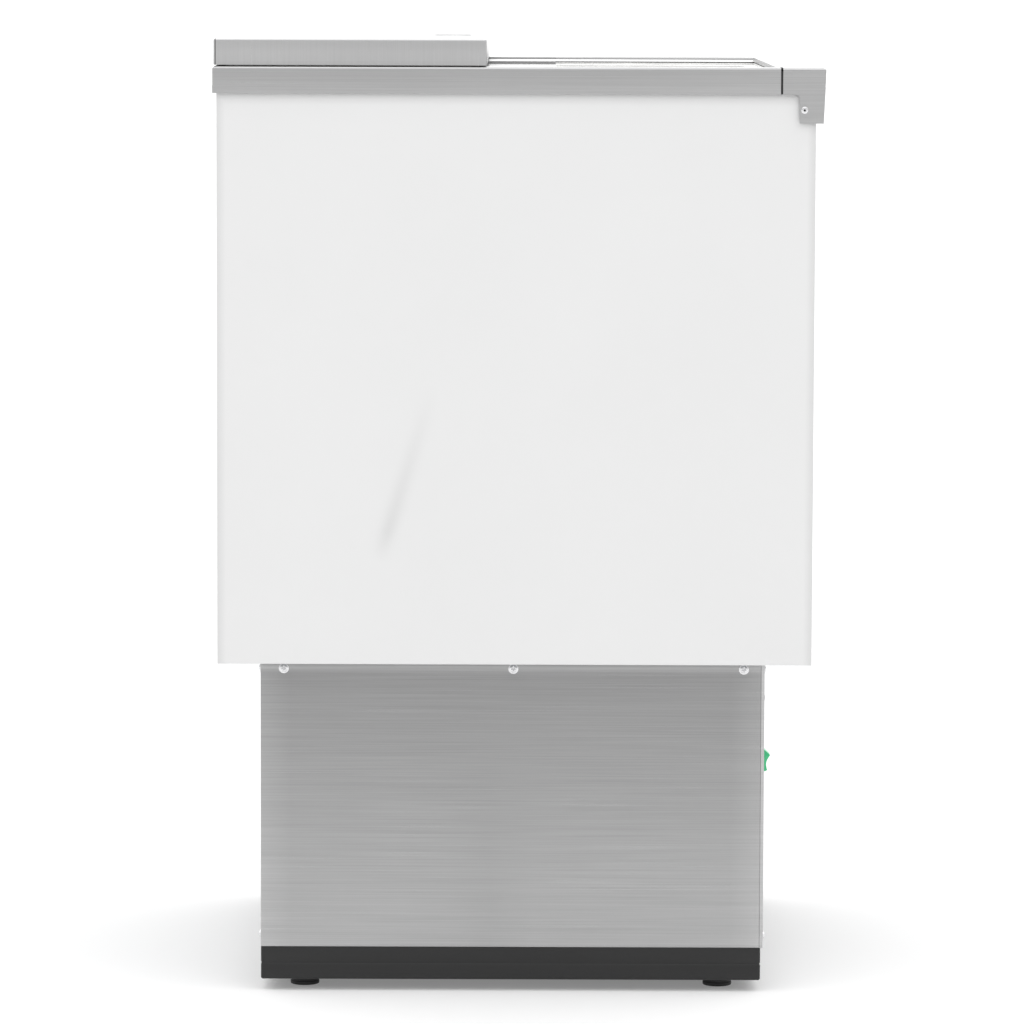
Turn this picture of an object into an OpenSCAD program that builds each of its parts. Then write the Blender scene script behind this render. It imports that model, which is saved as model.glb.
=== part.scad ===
// Chest freezer for under a bar: an insulated white cabinet on a narrower machine
// base, a stainless top frame and an insulated stainless lid that slides to the rear.
// Millimetres. Origin: centre of the overall box on the floor. +Z up, front is -Y.

/* [Overall] */
// Width across the top frame
frame_w = 610; // [505:1:735]
// Depth from the front rail's face to the rear skirt
frame_d = 624; // [518:1:750]
// Height from the floor to the top of the lid
overall_h = 981; // [815:1:1180]
// Sheet thickness of cabinet, frame, lid and base panels
sheet = 1; // [0.8:0.1:1.5]

/* [Cabinet] */
// How far the frame's skirt stands out past the cabinet at the sides and the rear
skirt_overhang = 4; // [3:0.5:6]
// How far the front rail's face stands out past the cabinet front
front_overhang = 10; // [7:0.5:16]
// Foam thickness in the side, front and rear walls
wall = 60; // [40:1:70]
// Foam thickness under the well
floor_foam = 58; // [40:1:80]
// Corner radius of the well in plan
well_corner_r = 14; // [10:1:40]

/* [Top frame] */
// Height of the frame's skirt
skirt_h = 27.5; // [22:0.5:34]
// Width of the frame's flat top at the sides and the rear
rail_w = 30; // [26:1:36]
// Outer radius of the frame's bends
bend_r = 3; // [2:0.5:4]
// Depth of the fold around the mouth
fold_h = 5; // [4:0.5:7]
// Depth of the front rail's end plate
front_plate_d = 44; // [38:1:54]
// Slot between the side rail and the front rail's end plate
seam = 2; // [1:0.5:3]
// How far the front rail's face and legs hang below the skirt
leg_drop = 29; // [20:1:40]
// Width of a front rail leg
leg_w = 24.6; // [20:0.2:32]
// How far the front rail's face leans back at its lower edge
face_lean = 2.5; // [0:0.5:5]
// Depth of the front rail's flat top, from its face to the mouth
front_rail_w = 50; // [48:1:56]
// How far the rear deck lies below the frame's top
deck_drop = 8; // [7:0.5:10]

/* [Lid] */
// Thickness of the lid's rim
lid_t = 27; // [22:1:36]
// Length of the lid, front to rear
lid_len = 278; // [240:1:334]
// Gap between the lid's rim and the frame
lid_gap = 1; // [0.6:0.1:2]
// How far the lid's edge stays inside the frame's side
lid_side_inset = 2; // [1:0.5:5]
// How far the closed lid's front edge stays behind the front rail's face
lid_front_setback = 42; // [36:1:46]
// How far the closed lid overlaps the rear deck
deck_overlap = 48; // [30:1:60]
// Length, depth from front to rear, and height of the pull's recess
pull_size = [110, 40, 14]; // [10:1:150]

/* [Base] */
// Height of the base pan's wall
pan_h = 34; // [26:1:50]
// Height of the base's side panels
base_h = 295; // [250:1:354]
// How far the base's side stays inside the cabinet's side
base_side_inset = 8; // [4:1:30]
// How far the base's rear stays inside the cabinet's rear
base_rear_inset = 44; // [30:1:60]
// How far the front grille's face stays behind the cabinet front
base_front_inset = 47.6; // [30:0.2:70]
// Depth of the front grille's folded edge
grille_return = 3.4; // [2:0.2:8]
// Sheet thickness of the base pan
pan_sheet = 1.5; // [1.2:0.1:2.5]
// Leg width of the base frame's corner angles
post_w = 30; // [24:1:36]
// Depth of the pockets in the rear grille around the drain spigot and the cord gland
pocket_d = 24; // [22:1:30]
// Thickness of the corner angles
post_t = 2; // [1.5:0.5:3]
// Height and pitch of an air slot
slot_size = [6, 15]; // [4:1:24]

/* [Feet] */
// Height of a foot below the base pan
foot_h = 12; // [8:1:30]
// Radius of a foot's pad
foot_r = 15; // [12:0.5:22]
// Distance from the foot's axis to the base's edges
foot_inset = 44; // [40:1:70]
// Radius of a foot's screw
foot_screw_r = 5; // [4:0.5:6]
// Thread travel of a foot
foot_travel = 10; // [5:1:15]

/* [Refrigeration] */
// Radius of the compressor's shell
comp_r = 70; // [60:1:78]
// Height of the compressor's shell
comp_h = 165; // [140:1:185]
// Width, depth and height of the condenser's fin block
cond_size = [270, 40, 200]; // [30:1:300]
// Number of fins
fin_count = 26; // [16:1:34]
// Number of tube passes in the condenser
pass_count = 8; // [4:2:10]
// Radius of the fan's opening
fan_r = 90; // [70:1:94]
// Radius of the evaporator's tube
evap_r = 4.5; // [3:0.5:5]
// Turns of the evaporator around the well
evap_turns = 6; // [4:1:9]
// Outer radius of the drain pipe
drain_r = 8; // [6:0.5:10]

/* [Switch and controls] */
// Height of the switch's centre above the floor
switch_z = 233; // [180:1:240]
// Distance from the base's left side to the switch's centre
switch_inset = 70; // [60:1:90]
// Half of the rocker's throw, in degrees
rocker_half_throw = 11; // [6:1:11]
// Travel of a controller key
key_travel = 0.6; // [0.3:0.1:0.8]

/* [Clearances] */
// Radial clearance of a running pin or screw
run_gap = 0.05; // [0.02:0.01:0.1]
// Clearance around a fixed piece in its cut-out
fit_gap = 0.2; // [0.1:0.05:0.4]
// Clearance of the lid's plug and seal over what they pass
slide_gap = 0.5; // [0.3:0.1:1]

/* [Hidden] */
$fn = 64;

// Levels above the floor
pan_z = foot_h;
base_z = pan_z + pan_h;
cab_z = base_z + base_h;
lid_z = overall_h - lid_t;
frame_z = lid_z - lid_gap;
skirt_z = frame_z - skirt_h;
deck_z = frame_z - deck_drop;
well_z = cab_z + sheet + floor_foam + sheet;
liner_top_z = deck_z - 20;

// Half widths in X
frame_x = frame_w / 2;
cab_x = frame_x - skirt_overhang;
base_x = cab_x - base_side_inset;
foam_x = cab_x - sheet;
well_x = foam_x - wall;
mouth_x = frame_x - rail_w;
ledge_w = 15;
throat_x = mouth_x - ledge_w;
lid_x = frame_x - lid_side_inset;
plug_x = mouth_x - 2;

// Places in Y, front to rear
frame_front = -frame_d / 2;
frame_rear = frame_d / 2;
cab_front = frame_front + front_overhang;
cab_rear = frame_rear - skirt_overhang;
plate_rear = frame_front + front_plate_d;
side_rail_front = plate_rear + seam;
mouth_front = frame_front + front_rail_w;
mouth_rear = frame_rear - rail_w;
well_front = cab_front + sheet + wall;
well_rear = cab_rear - sheet - wall;
throat_front = mouth_front + 13;
lid_rest_rear = frame_rear - 1;
lid_rest_front = lid_rest_rear - lid_len;
lid_travel = lid_rest_front - (frame_front + lid_front_setback);
deck_front = lid_rest_front + lid_len - lid_travel - deck_overlap;
plug_front = lid_rest_front + 12;
plug_rear = mouth_rear - 2;
base_rear = cab_rear - base_rear_inset;
grille_front = cab_front + base_front_inset;
base_front = grille_front + grille_return;

// The lid's parts
plug_z = deck_z + 2;
gasket_z = deck_z + slide_gap;
pull_y = lid_rest_front + 38;
pull_flange = 9;

// Feet, screws and the machine space
feet = [[-1, -1], [1, -1], [-1, 1], [1, 1]];
foot_x = base_x - foot_inset;
foot_y = [base_front + foot_inset - 2, base_rear - foot_inset];
machine_z = pan_z + pan_sheet;
screw_z = cab_z - 5.2;
screw_y = [base_rear - 24, (base_front + base_rear) / 2 - 2.5, base_front + 18];
screw_r = 2;
screw_head = [5.2, 2.2];
grille_screw_x = base_x - 9;
grille_screw_z = [base_z + 12, cab_z - 6];
rivet_at = [frame_front + 22, skirt_z - 15.5];
comp_at = [-60, base_rear - 154];
comp_z = machine_z + 30;
bolt_reach = [78, 52];
cond_x0 = base_x - 53 - cond_size.x;
cond_y0 = base_front + 16;
cond_z0 = machine_z + 41;
cond_y = cond_y0 + cond_size.y / 2;
tube_r = 4;
elbow = 0.3;
pass_pitch = cond_size.z / pass_count;
fan_at = [cond_x0 + cond_size.x / 2, cond_z0 + cond_size.z / 2];
shroud_y = cond_y0 + cond_size.y + 4;
fan_y = shroud_y + 14;
motor_y = fan_y + 26;
motor_r = 36;
motor_len = 55;
shaft_r = 4;
drain_at = [150, base_rear - 84];
drain_out_z = machine_z + 60;
service_y = base_rear - pocket_d;
drain_tip = service_y + 22;
gland_at = [-base_x + 80, machine_z + 55];
gland_bore_r = 4;
pocket_half = 20;
band = 2 * evap_r + 1;
coil_x = well_x + sheet + evap_r + 0.3;
coil_y = (well_rear - well_front) / 2 + sheet + evap_r + 0.3;
coil_centre_y = (well_rear + well_front) / 2;
coil_corner = well_corner_r + evap_r;
coil_z = [well_z + 30, liner_top_z - 60];
coil_start_y = coil_centre_y + coil_y - coil_corner;
capillary_at = [coil_x + evap_r + 4, coil_start_y];
suction_at = [coil_x, coil_start_y - 12];

// The switch and the controller
switch_x = -base_x + switch_inset;
pivot_y = grille_front + 5.4;
rocker_half = [9.4, 12];
rocker_tip = 13.2;
opening_half = [9.8, 13.9];
bezel_t = 1.6;
pin_r = 1.5;
ctrl_at = [-base_x + 88, switch_z + 66];
ctrl_half = [38, 17];
key_at = [[-24, 0], [24, 5.5], [24, -5.5]];
key_half = [5, 2.6];
box_lo = [-base_x + 8, base_front + 82, machine_z + 120];
box_size = [130, 70, 150];

// ---- shared shapes ----

// A box between two corners
module box(lo, hi) {
    translate(lo) cube(hi - lo);
}

// A box and its mirror image across the middle of the object
module box_pair(lo, hi) {
    box(lo, hi);
    mirror([1, 0, 0]) box(lo, hi);
}

// A rectangle in plan with round corners
module round_plan(lo, hi, r) {
    translate([lo.x + r, lo.y]) square([hi.x - lo.x - 2 * r, hi.y - lo.y]);
    translate([lo.x, lo.y + r]) square([hi.x - lo.x, hi.y - lo.y - 2 * r]);
    for (x = [lo.x + r, hi.x - r], y = [lo.y + r, hi.y - r]) {
        translate([x, y]) circle(r);
    }
}

// An upright block with round corners in plan
module round_block(lo, hi, r) {
    translate([0, 0, lo.z]) linear_extrude(hi.z - lo.z) round_plan(lo, hi, r);
}

// A rectangle whose upper corners are bent to a radius
module bent_outline(lo, hi, r, first, last) {
    difference() {
        translate(lo) square(hi - lo);
        if (first) translate([lo.x - r, hi.y - r]) square(2 * r);
        if (last) translate([hi.x - r, hi.y - r]) square(2 * r);
    }
    if (first) translate([lo.x + r, hi.y - r]) circle(r);
    if (last) translate([hi.x - r, hi.y - r]) circle(r);
}

// Stands an outline in Y and Z up across X
module across(x0, x1) {
    translate([x0, 0, 0]) rotate([90, 0, 90]) linear_extrude(x1 - x0) children();
}

// Stands an outline in X and Z up along Y
module along(y0, y1) {
    translate([0, y1, 0]) rotate([90, 0, 0]) linear_extrude(y1 - y0) children();
}

// A box with bent upper edges at both sides and, as asked, at the front and the rear
module bent_block(lo, hi, r, front, rear) {
    intersection() {
        along(lo.y, hi.y) bent_outline([lo.x, lo.z], [hi.x, hi.z], r, true, true);
        across(lo.x, hi.x) bent_outline([lo.y, lo.z], [hi.y, hi.z], r, front, rear);
    }
}

// A cylinder that lies along Y, from y0 to y1
module rod_y(x, z, y0, y1, r) {
    translate([x, y0, z]) rotate([-90, 0, 0]) cylinder(r = r, h = y1 - y0);
}

// A cylinder that lies along X, from x0 to x1
module rod_x(y, z, x0, x1, r) {
    translate([x0, y, z]) rotate([0, 90, 0]) cylinder(r = r, h = x1 - x0);
}

// A straight rod between two points
module rod(a, b, r) {
    d = b - a;
    translate(a) rotate([0, acos(d.z / norm(d)), atan2(d.y, d.x)]) cylinder(r = r, h = norm(d));
}

// A pipe through a list of points, with round elbows
module pipe(points, r) {
    for (i = [1:len(points) - 1]) rod(points[i - 1], points[i], r);
    for (i = [1:len(points) - 2]) translate(points[i]) sphere(r + elbow, $fn = 24);
}

// A washer-head screw that is driven towards +X, its head's seat at the origin
module side_screw(length) {
    rotate([0, 90, 0]) cylinder(r = screw_r, h = length);
    difference() {
        rotate([0, -90, 0]) cylinder(r1 = screw_head.x, r2 = screw_head.x * 0.62, h = screw_head.y);
        for (a = [0, 90]) {
            translate([-screw_head.y, 0, 0]) rotate([a, 0, 0]) box([-1, -2.4, -0.5], [1, 2.4, 0.5]);
        }
    }
}

// ---- cabinet ----

module side_panel() {
    box([-cab_x, cab_front, cab_z], [-foam_x, cab_rear, frame_z - sheet]);
}

module left_side_panel() {
    color([0.93, 0.93, 0.93]) difference() {
        side_panel();
        rod_x(rivet_at.x, rivet_at.y, -frame_x, -foam_x + 1, 1.7);
    }
}

module right_side_panel() {
    color([0.93, 0.93, 0.93]) mirror([1, 0, 0]) difference() {
        side_panel();
        rod_x(rivet_at.x, rivet_at.y, -frame_x, -foam_x + 1, 1.7);
    }
}

module front_panel() {
    color([0.93, 0.93, 0.93])
        box([-foam_x, cab_front, cab_z], [foam_x, cab_front + sheet, frame_z - sheet]);
}

module rear_panel() {
    color([0.8, 0.8, 0.8])
        box([-foam_x, cab_rear - sheet, cab_z], [foam_x, cab_rear, frame_z - sheet]);
}

module cabinet_bottom() {
    color([0.75, 0.75, 0.76]) difference() {
        box([-foam_x, cab_front + sheet, cab_z], [foam_x, cab_rear - sheet, cab_z + sheet]);
        service_holes();
    }
}

// Holes that the drain and the refrigerant lines use through the bottom and the foam
module service_holes() {
    translate([drain_at.x, drain_at.y, cab_z - 1])
        cylinder(r = drain_r + fit_gap, h = floor_foam + 4 * sheet);
    translate([suction_at.x, suction_at.y, cab_z - 1]) cylinder(r = 6, h = coil_z[0] - cab_z);
    translate([capillary_at.x, capillary_at.y, cab_z - 1])
        cylinder(r = 2.5, h = coil_z[1] + 12 - cab_z);
}

module insulation() {
    color([0.93, 0.86, 0.62]) difference() {
        box([-foam_x, cab_front + sheet, cab_z + sheet], [foam_x, cab_rear - sheet, frame_z - sheet]);
        tub_block(0, liner_top_z + 1);
        tub_band();
        box([-throat_x - 2, throat_front - 2, liner_top_z - sheet],
            [throat_x + 2, mouth_rear - ledge_w + 2, frame_z]);
        box([-mouth_x - 2, side_rail_front, deck_z - 2], [mouth_x + 2, mouth_rear + 2, frame_z]);
        service_holes();
        for (x = [-1, 1]) {
            rod_x(rivet_at.x, rivet_at.y, x * (foam_x - 6) - 6, x * (foam_x - 6) + 6, 3);
        }
    }
}

// The space that the well's liner takes, outside its walls
module tub_block(grow, top) {
    s = sheet + grow;
    lo = [-well_x - s, well_front - s, well_z - s];
    hi = [well_x + s, well_rear + s, top];
    round_block(lo, hi, well_corner_r + s);
}

// The space that the evaporator takes around the liner
module tub_band() {
    lo = [-well_x - sheet - band, well_front - sheet - band, coil_z[0] - 2 * evap_r];
    hi = [well_x + sheet + band, well_rear + sheet + band, coil_z[1] + 2 * evap_r];
    round_block(lo, hi, well_corner_r + sheet + band);
}

module well_liner() {
    color([0.95, 0.95, 0.94]) difference() {
        union() {
            tub_block(0, liner_top_z);
            box([-throat_x - 2, throat_front - 2, liner_top_z - sheet],
                [throat_x + 2, mouth_rear - ledge_w + 2, liner_top_z]);
        }
        tub_block(-sheet, liner_top_z + 1);
        translate([drain_at.x, drain_at.y, well_z - 5]) cylinder(r = drain_r + fit_gap, h = 10);
    }
}

// White collar around the mouth: a throat, a ledge for the seal and an upright lip
module breaker_frame() {
    ledge_z = deck_z - 0.1;
    color([0.95, 0.95, 0.94]) difference() {
        union() {
            box([-throat_x - 2, throat_front - 2, liner_top_z],
                [throat_x + 2, deck_front + 2, deck_z - sheet]);
            box([-mouth_x - 2, mouth_front - 2, ledge_z - 1.9],
                [mouth_x + 2, deck_front - sheet, ledge_z + 1.4]);
        }
        box([-mouth_x, mouth_front, ledge_z], [mouth_x, deck_front + 3, frame_z]);
        box([-throat_x, throat_front, liner_top_z - 1], [throat_x, deck_front, frame_z]);
    }
}

// ---- top frame ----

module top_frame() {
    inner_r = bend_r - sheet;
    color([0.7, 0.7, 0.71]) {
        difference() {
            bent_block([-frame_x, side_rail_front, skirt_z],
                [frame_x, frame_rear, frame_z], bend_r, false, true);
            bent_block([-frame_x + sheet, side_rail_front - 5, skirt_z - 1],
                [frame_x - sheet, frame_rear - sheet, frame_z - sheet], inner_r, false, true);
            box([-mouth_x, side_rail_front - 1, skirt_z], [mouth_x, mouth_rear, frame_z + 1]);
        }
        difference() {
            box([-mouth_x - sheet, side_rail_front, frame_z - fold_h],
                [mouth_x + sheet, mouth_rear + sheet, frame_z]);
            box([-mouth_x, side_rail_front - 1, skirt_z], [mouth_x, mouth_rear, frame_z + 1]);
        }
    }
}

// The end view of the front rail, from its face to the rear of its end plate
module front_rail_outline(inset) {
    x0 = frame_front + inset;
    top = frame_z - inset;
    foot = skirt_z - leg_drop;
    r = bend_r - inset;
    leg_rear = frame_front + face_lean + leg_w;
    difference() {
        union() {
            polygon([[x0 + face_lean, foot], [leg_rear, foot], [leg_rear, skirt_z],
                [plate_rear, skirt_z], [plate_rear, top], [x0 + r, top], [x0, top - r]]);
            translate([x0 + r, top - r]) circle(r);
            translate([leg_rear, skirt_z - bend_r]) square(bend_r);
        }
        translate([leg_rear + bend_r, skirt_z - bend_r]) circle(bend_r);
    }
}

module front_rail() {
    color([0.7, 0.7, 0.71]) {
        difference() {
            intersection() {
                across(-frame_x, frame_x) front_rail_outline(0);
                along(frame_front - 1, plate_rear + 1)
                    bent_outline([-frame_x, 0], [frame_x, frame_z], bend_r, true, true);
            }
            intersection() {
                across(-frame_x + sheet, frame_x - sheet) union() {
                    front_rail_outline(sheet);
                    translate([frame_front + 15, 0]) square([front_plate_d, frame_z - sheet]);
                    translate([frame_front + face_lean + sheet, 0]) square([20, skirt_z - leg_drop + 1]);
                }
                along(frame_front - 1, plate_rear + 5)
                    bent_outline([-frame_x + sheet, 0], [frame_x - sheet, frame_z - sheet],
                        bend_r - sheet, true, true);
            }
            for (x = [-1, 1]) {
                rod_x(rivet_at.x, rivet_at.y, x * frame_x - 2, x * frame_x + 2, 1.7);
            }
        }
        box([-mouth_x + 1, plate_rear - 5, frame_z - sheet], [mouth_x - 1, mouth_front, frame_z]);
        box([-mouth_x + 1, mouth_front - sheet, frame_z - fold_h], [mouth_x - 1, mouth_front, frame_z]);
        box([-foam_x, frame_front + face_lean, skirt_z - leg_drop],
            [foam_x, cab_front - 1, skirt_z - leg_drop + sheet]);
    }
}

module front_rail_rivets() {
    color([0.85, 0.85, 0.86]) for (side = [-1, 1]) {
        translate([side * frame_x, rivet_at.x, rivet_at.y]) rotate([0, 90 * side, 0]) difference() {
            union() {
                cylinder(r1 = 3.8, r2 = 2.4, h = 1.2);
                translate([0, 0, -frame_x + foam_x - 3]) cylinder(r = 1.6, h = frame_x - foam_x + 3);
                translate([0, 0, -frame_x + foam_x - 3]) cylinder(r = 2.4, h = 3);
            }
            cylinder(r = 0.9, h = 3);
        }
    }
}

// Folded deck between the rails: up-turned sides and rear, a front edge turned down
module rear_deck() {
    x = mouth_x + 2;
    y = mouth_rear + 2;
    color([0.72, 0.72, 0.73]) {
        difference() {
            box([-x, deck_front - sheet, deck_z - sheet], [x, y, frame_z - sheet]);
            box([-x + sheet, deck_front - 2 * sheet, deck_z], [x - sheet, y - sheet, frame_z]);
        }
        box([-throat_x, deck_front - sheet, deck_z - 10], [throat_x, deck_front, deck_z]);
    }
}

module deck_foam() {
    color([0.93, 0.86, 0.62]) {
        box([-throat_x - 2, deck_front + 2, liner_top_z + sheet],
            [throat_x + 2, mouth_rear - ledge_w + 2, deck_z - 2]);
        box([-mouth_x - 2, deck_front + 2, deck_z - 2], [mouth_x + 2, mouth_rear + 2, deck_z - sheet]);
    }
}

module deck_liner() {
    color([0.95, 0.95, 0.94])
        box([-throat_x - 2, deck_front + 2, liner_top_z],
            [throat_x + 2, mouth_rear - ledge_w + 2, liner_top_z + sheet]);
}

// ---- lid, drawn where it is parked over the rear deck ----

module lid_shell() {
    color([0.74, 0.74, 0.75]) difference() {
        bent_block([-lid_x, lid_rest_front, lid_z], [lid_x, lid_rest_rear, overall_h], 2, true, true);
        bent_block([-lid_x + sheet, lid_rest_front + sheet, lid_z - 1],
            [lid_x - sheet, lid_rest_rear - sheet, overall_h - sheet], 1, true, true);
        box([-pull_size.x / 2, pull_y - pull_size.y / 2, overall_h - 5],
            [pull_size.x / 2, pull_y + pull_size.y / 2, overall_h + 1]);
    }
}

module lid_foam() {
    color([0.93, 0.86, 0.62]) difference() {
        union() {
            box([-lid_x + sheet + 1, lid_rest_front + sheet + 1, lid_z + sheet],
                [lid_x - sheet - 1, lid_rest_rear - sheet - 1, overall_h - sheet]);
            box([-plug_x + sheet, plug_front + sheet, plug_z + sheet],
                [plug_x - sheet, plug_rear - sheet, lid_z + sheet]);
        }
        pull_block(sheet + fit_gap);
        pull_rim(fit_gap);
    }
}

module lid_liner() {
    color([0.72, 0.72, 0.73]) difference() {
        union() {
            box([-lid_x + sheet, lid_rest_front + sheet, lid_z],
                [lid_x - sheet, lid_rest_rear - sheet, lid_z + sheet]);
            box([-plug_x, plug_front, plug_z], [plug_x, plug_rear, lid_z + sheet]);
        }
        box([-plug_x + sheet, plug_front + sheet, plug_z + sheet],
            [plug_x - sheet, plug_rear - sheet, lid_z + 2 * sheet]);
    }
}

// Wiping seal around the underside of the plug
module lid_gasket() {
    w = 8;
    color([0.18, 0.18, 0.18]) difference() {
        box([-plug_x + 3, plug_front + 3, gasket_z], [plug_x - 3, plug_rear - 3, plug_z]);
        box([-plug_x + 3 + w, plug_front + 3 + w, gasket_z - 1],
            [plug_x - 3 - w, plug_rear - 3 - w, plug_z + 1]);
    }
}

module lid_glides() {
    color([0.95, 0.95, 0.95])
        box_pair([-lid_x + 8, lid_rest_front + 8, frame_z + 0.1],
            [-mouth_x - 8, lid_rest_rear - 12, lid_z]);
}

// The space inside the pull's recess, grown on its sides and its floor
module pull_block(grow) {
    round_block([-pull_size.x / 2 - grow, pull_y - pull_size.y / 2 - grow, overall_h - pull_size.z - grow],
        [pull_size.x / 2 + grow, pull_y + pull_size.y / 2 + grow, overall_h - sheet], 8 + grow);
}

// The pull's rim, which is clamped under the lid's top sheet
module pull_rim(grow) {
    w = pull_flange + grow;
    box([-pull_size.x / 2 - w, pull_y - pull_size.y / 2 - w, overall_h - 2 * sheet - grow],
        [pull_size.x / 2 + w, pull_y + pull_size.y / 2 + w, overall_h - sheet]);
}

module lid_pull() {
    color([0.6, 0.6, 0.61]) difference() {
        union() {
            pull_block(sheet);
            pull_rim(0);
        }
        translate([0, 0, 0.5]) pull_block(0);
        translate([0, 0, -0.5]) pull_block(0);
    }
}

// ---- inside the well ----

module wire_rack() {
    wire_r = 2.5;
    gap = 8;
    y0 = well_front + gap;
    y1 = well_rear - gap;
    rows = floor((y1 - y0) / 34);
    color([0.8, 0.8, 0.82]) {
        for (i = [0:rows]) {
            y = y0 + 12 + i * (y1 - y0 - 24) / rows;
            rod_x(y, well_z + 3.4 * wire_r, -well_x + gap + 12, well_x - gap - 12, wire_r);
        }
        for (x = [-well_x + gap + 20, -60, 60, well_x - gap - 20]) {
            rod_y(x, well_z + 1.8 * wire_r + 0.1, y0 + 6, y1 - 6, wire_r);
        }
    }
}

module drain_pipe() {
    inner = drain_r - 2;
    color([0.85, 0.85, 0.85]) {
        difference() {
            union() {
                translate([drain_at.x, drain_at.y, drain_out_z])
                    cylinder(r = drain_r, h = well_z - drain_out_z);
                rod_y(drain_at.x, drain_out_z, drain_at.y, service_y + 2, drain_r + 0.8);
                rod_y(drain_at.x, drain_out_z, service_y, drain_tip, drain_r);
                translate([drain_at.x, drain_at.y, drain_out_z]) sphere(drain_r + 1.2);
                translate([drain_at.x, drain_at.y, well_z]) cylinder(r = drain_r + 6, h = 1.2);
            }
            translate([drain_at.x, drain_at.y, drain_out_z]) cylinder(r = inner, h = well_z - drain_out_z);
            for (a = [0:60:300]) {
                translate([drain_at.x + 3.8 * cos(a), drain_at.y + 3.8 * sin(a), well_z - 1])
                    cylinder(r = 1.3, h = 4);
            }
            rod_y(drain_at.x, drain_out_z, drain_at.y, drain_tip + 1, inner);
        }
    }
}

// Evaporator: a tube wound around the liner, one point list around a rounded rectangle
coil_steps = 5;
coil_sides = 8;
function coil_sign(c) = [[1, 1], [-1, 1], [-1, -1], [1, -1]][c];
function coil_turn(i) = 90 * (floor(i / coil_steps) % 4) + 90 * (i % coil_steps) / (coil_steps - 1);
function coil_ring(i) =
    let (s = coil_sign(floor(i / coil_steps) % 4),
        a = coil_turn(i),
        out = [cos(a), sin(a), 0],
        rise = (coil_z[1] - coil_z[0]) * i / (4 * coil_steps * evap_turns),
        hub = [s.x * (coil_x - coil_corner), coil_centre_y + s.y * (coil_y - coil_corner), coil_z[0] + rise],
        mid = hub + coil_corner * out)
    [for (k = [0:coil_sides - 1])
        let (t = 360 * k / coil_sides) mid + evap_r * (cos(t) * out + [0, 0, sin(t)])];

module evaporator_coil() {
    last = 4 * coil_steps * evap_turns;
    points = [for (i = [0:last], p = coil_ring(i)) p];
    walls = [for (i = [0:last - 1], k = [0:coil_sides - 1])
        let (a = i * coil_sides, n = (k + 1) % coil_sides)
        [a + k, a + n, a + n + coil_sides, a + k + coil_sides]];
    first_cap = [for (k = [coil_sides - 1:-1:0]) k];
    last_cap = [for (k = [0:coil_sides - 1]) last * coil_sides + k];
    color([0.72, 0.45, 0.3]) polyhedron(points, concat(walls, [first_cap], [last_cap]), convexity = 8);
}

// ---- base ----

module base_pan() {
    t = pan_sheet;
    crease_z = pan_z + pan_h / 2;
    color([0.13, 0.13, 0.13]) difference() {
        box([-base_x, base_front - 1, pan_z], [base_x, base_rear, base_z]);
        box([-base_x + t, base_front - 1 + t, pan_z + t], [base_x - t, base_rear - t, base_z + 1]);
        for (f = [0:3]) {
            translate([feet[f].x * foot_x, foot_y[f < 2 ? 0 : 1], pan_z - 1])
                cylinder(r = foot_screw_r + 0.5, h = 5);
        }
        for (x = [-1, 1], y = [-1, 1]) {
            translate([comp_at.x + x * bolt_reach.x, comp_at.y + y * bolt_reach.y, pan_z - 1])
                cylinder(r = 3.1, h = 5);
        }
        box([-base_x - 1, base_front - 2, crease_z], [-base_x + 0.3, base_rear + 1, crease_z + 0.8]);
        box([base_x - 0.3, base_front - 2, crease_z], [base_x + 1, base_rear + 1, crease_z + 0.8]);
        box([-base_x - 1, base_front - 2, crease_z], [base_x + 1, base_front - 0.7, crease_z + 0.8]);
        box([-base_x - 1, base_rear - 0.3, crease_z], [base_x + 1, base_rear + 1, crease_z + 0.8]);
    }
}

// Side panel of the base: a sheet with folds between the corner angles
module base_panel() {
    fold = 14;
    y0 = base_front + post_w + 4;
    y1 = base_rear - post_w - 4;
    difference() {
        union() {
            box([-base_x, base_front, base_z], [-base_x + sheet, base_rear, cab_z]);
            box([-base_x, y0, base_z], [-base_x + fold, y1, base_z + sheet]);
        }
        for (y = screw_y) rod_x(y, screw_z, -base_x - 1, -base_x + 3, screw_r + 0.1);
    }
}

module base_left_panel() {
    color([0.66, 0.66, 0.67]) base_panel();
}

module base_right_panel() {
    color([0.66, 0.66, 0.67]) mirror([1, 0, 0]) base_panel();
}

// Corner angles and the rails that join them along the sides, welded together
module base_frame() {
    x1 = base_x - pan_sheet;
    y0 = base_front + 1;
    y1 = base_rear - 2 * sheet;
    color([0.45, 0.46, 0.47]) difference() {
        union() {
            for (m = [0, 1]) mirror([m, 0, 0]) {
                box([-x1, y0, machine_z], [-x1 + post_t, y0 + post_w, cab_z]);
                box([-x1, y1 - post_w, machine_z], [-x1 + post_t, y1, cab_z]);
                box([-x1, y0, machine_z + pan_h], [-x1 + 16, y0 + post_t, cab_z]);
                box([-x1, y1 - post_t, machine_z + pan_h], [-x1 + 16, y1, cab_z]);
                box([-x1, y0, cab_z - 22], [-x1 + post_t, y1, cab_z]);
                box([-x1, y0, cab_z - post_t], [-x1 + 20, y1, cab_z]);
            }
        }
        for (m = [0, 1], y = screw_y) {
            mirror([m, 0, 0]) rod_x(y, screw_z, -x1 - 1, -x1 + 4, screw_r + run_gap);
        }
        for (x = [-1, 1], z = grille_screw_z) {
            rod_y(x * grille_screw_x, z, base_front, base_front + 8, screw_r + run_gap);
            rod_y(x * grille_screw_x, z, base_rear - 8, base_rear, screw_r + run_gap);
        }
    }
}

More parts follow.
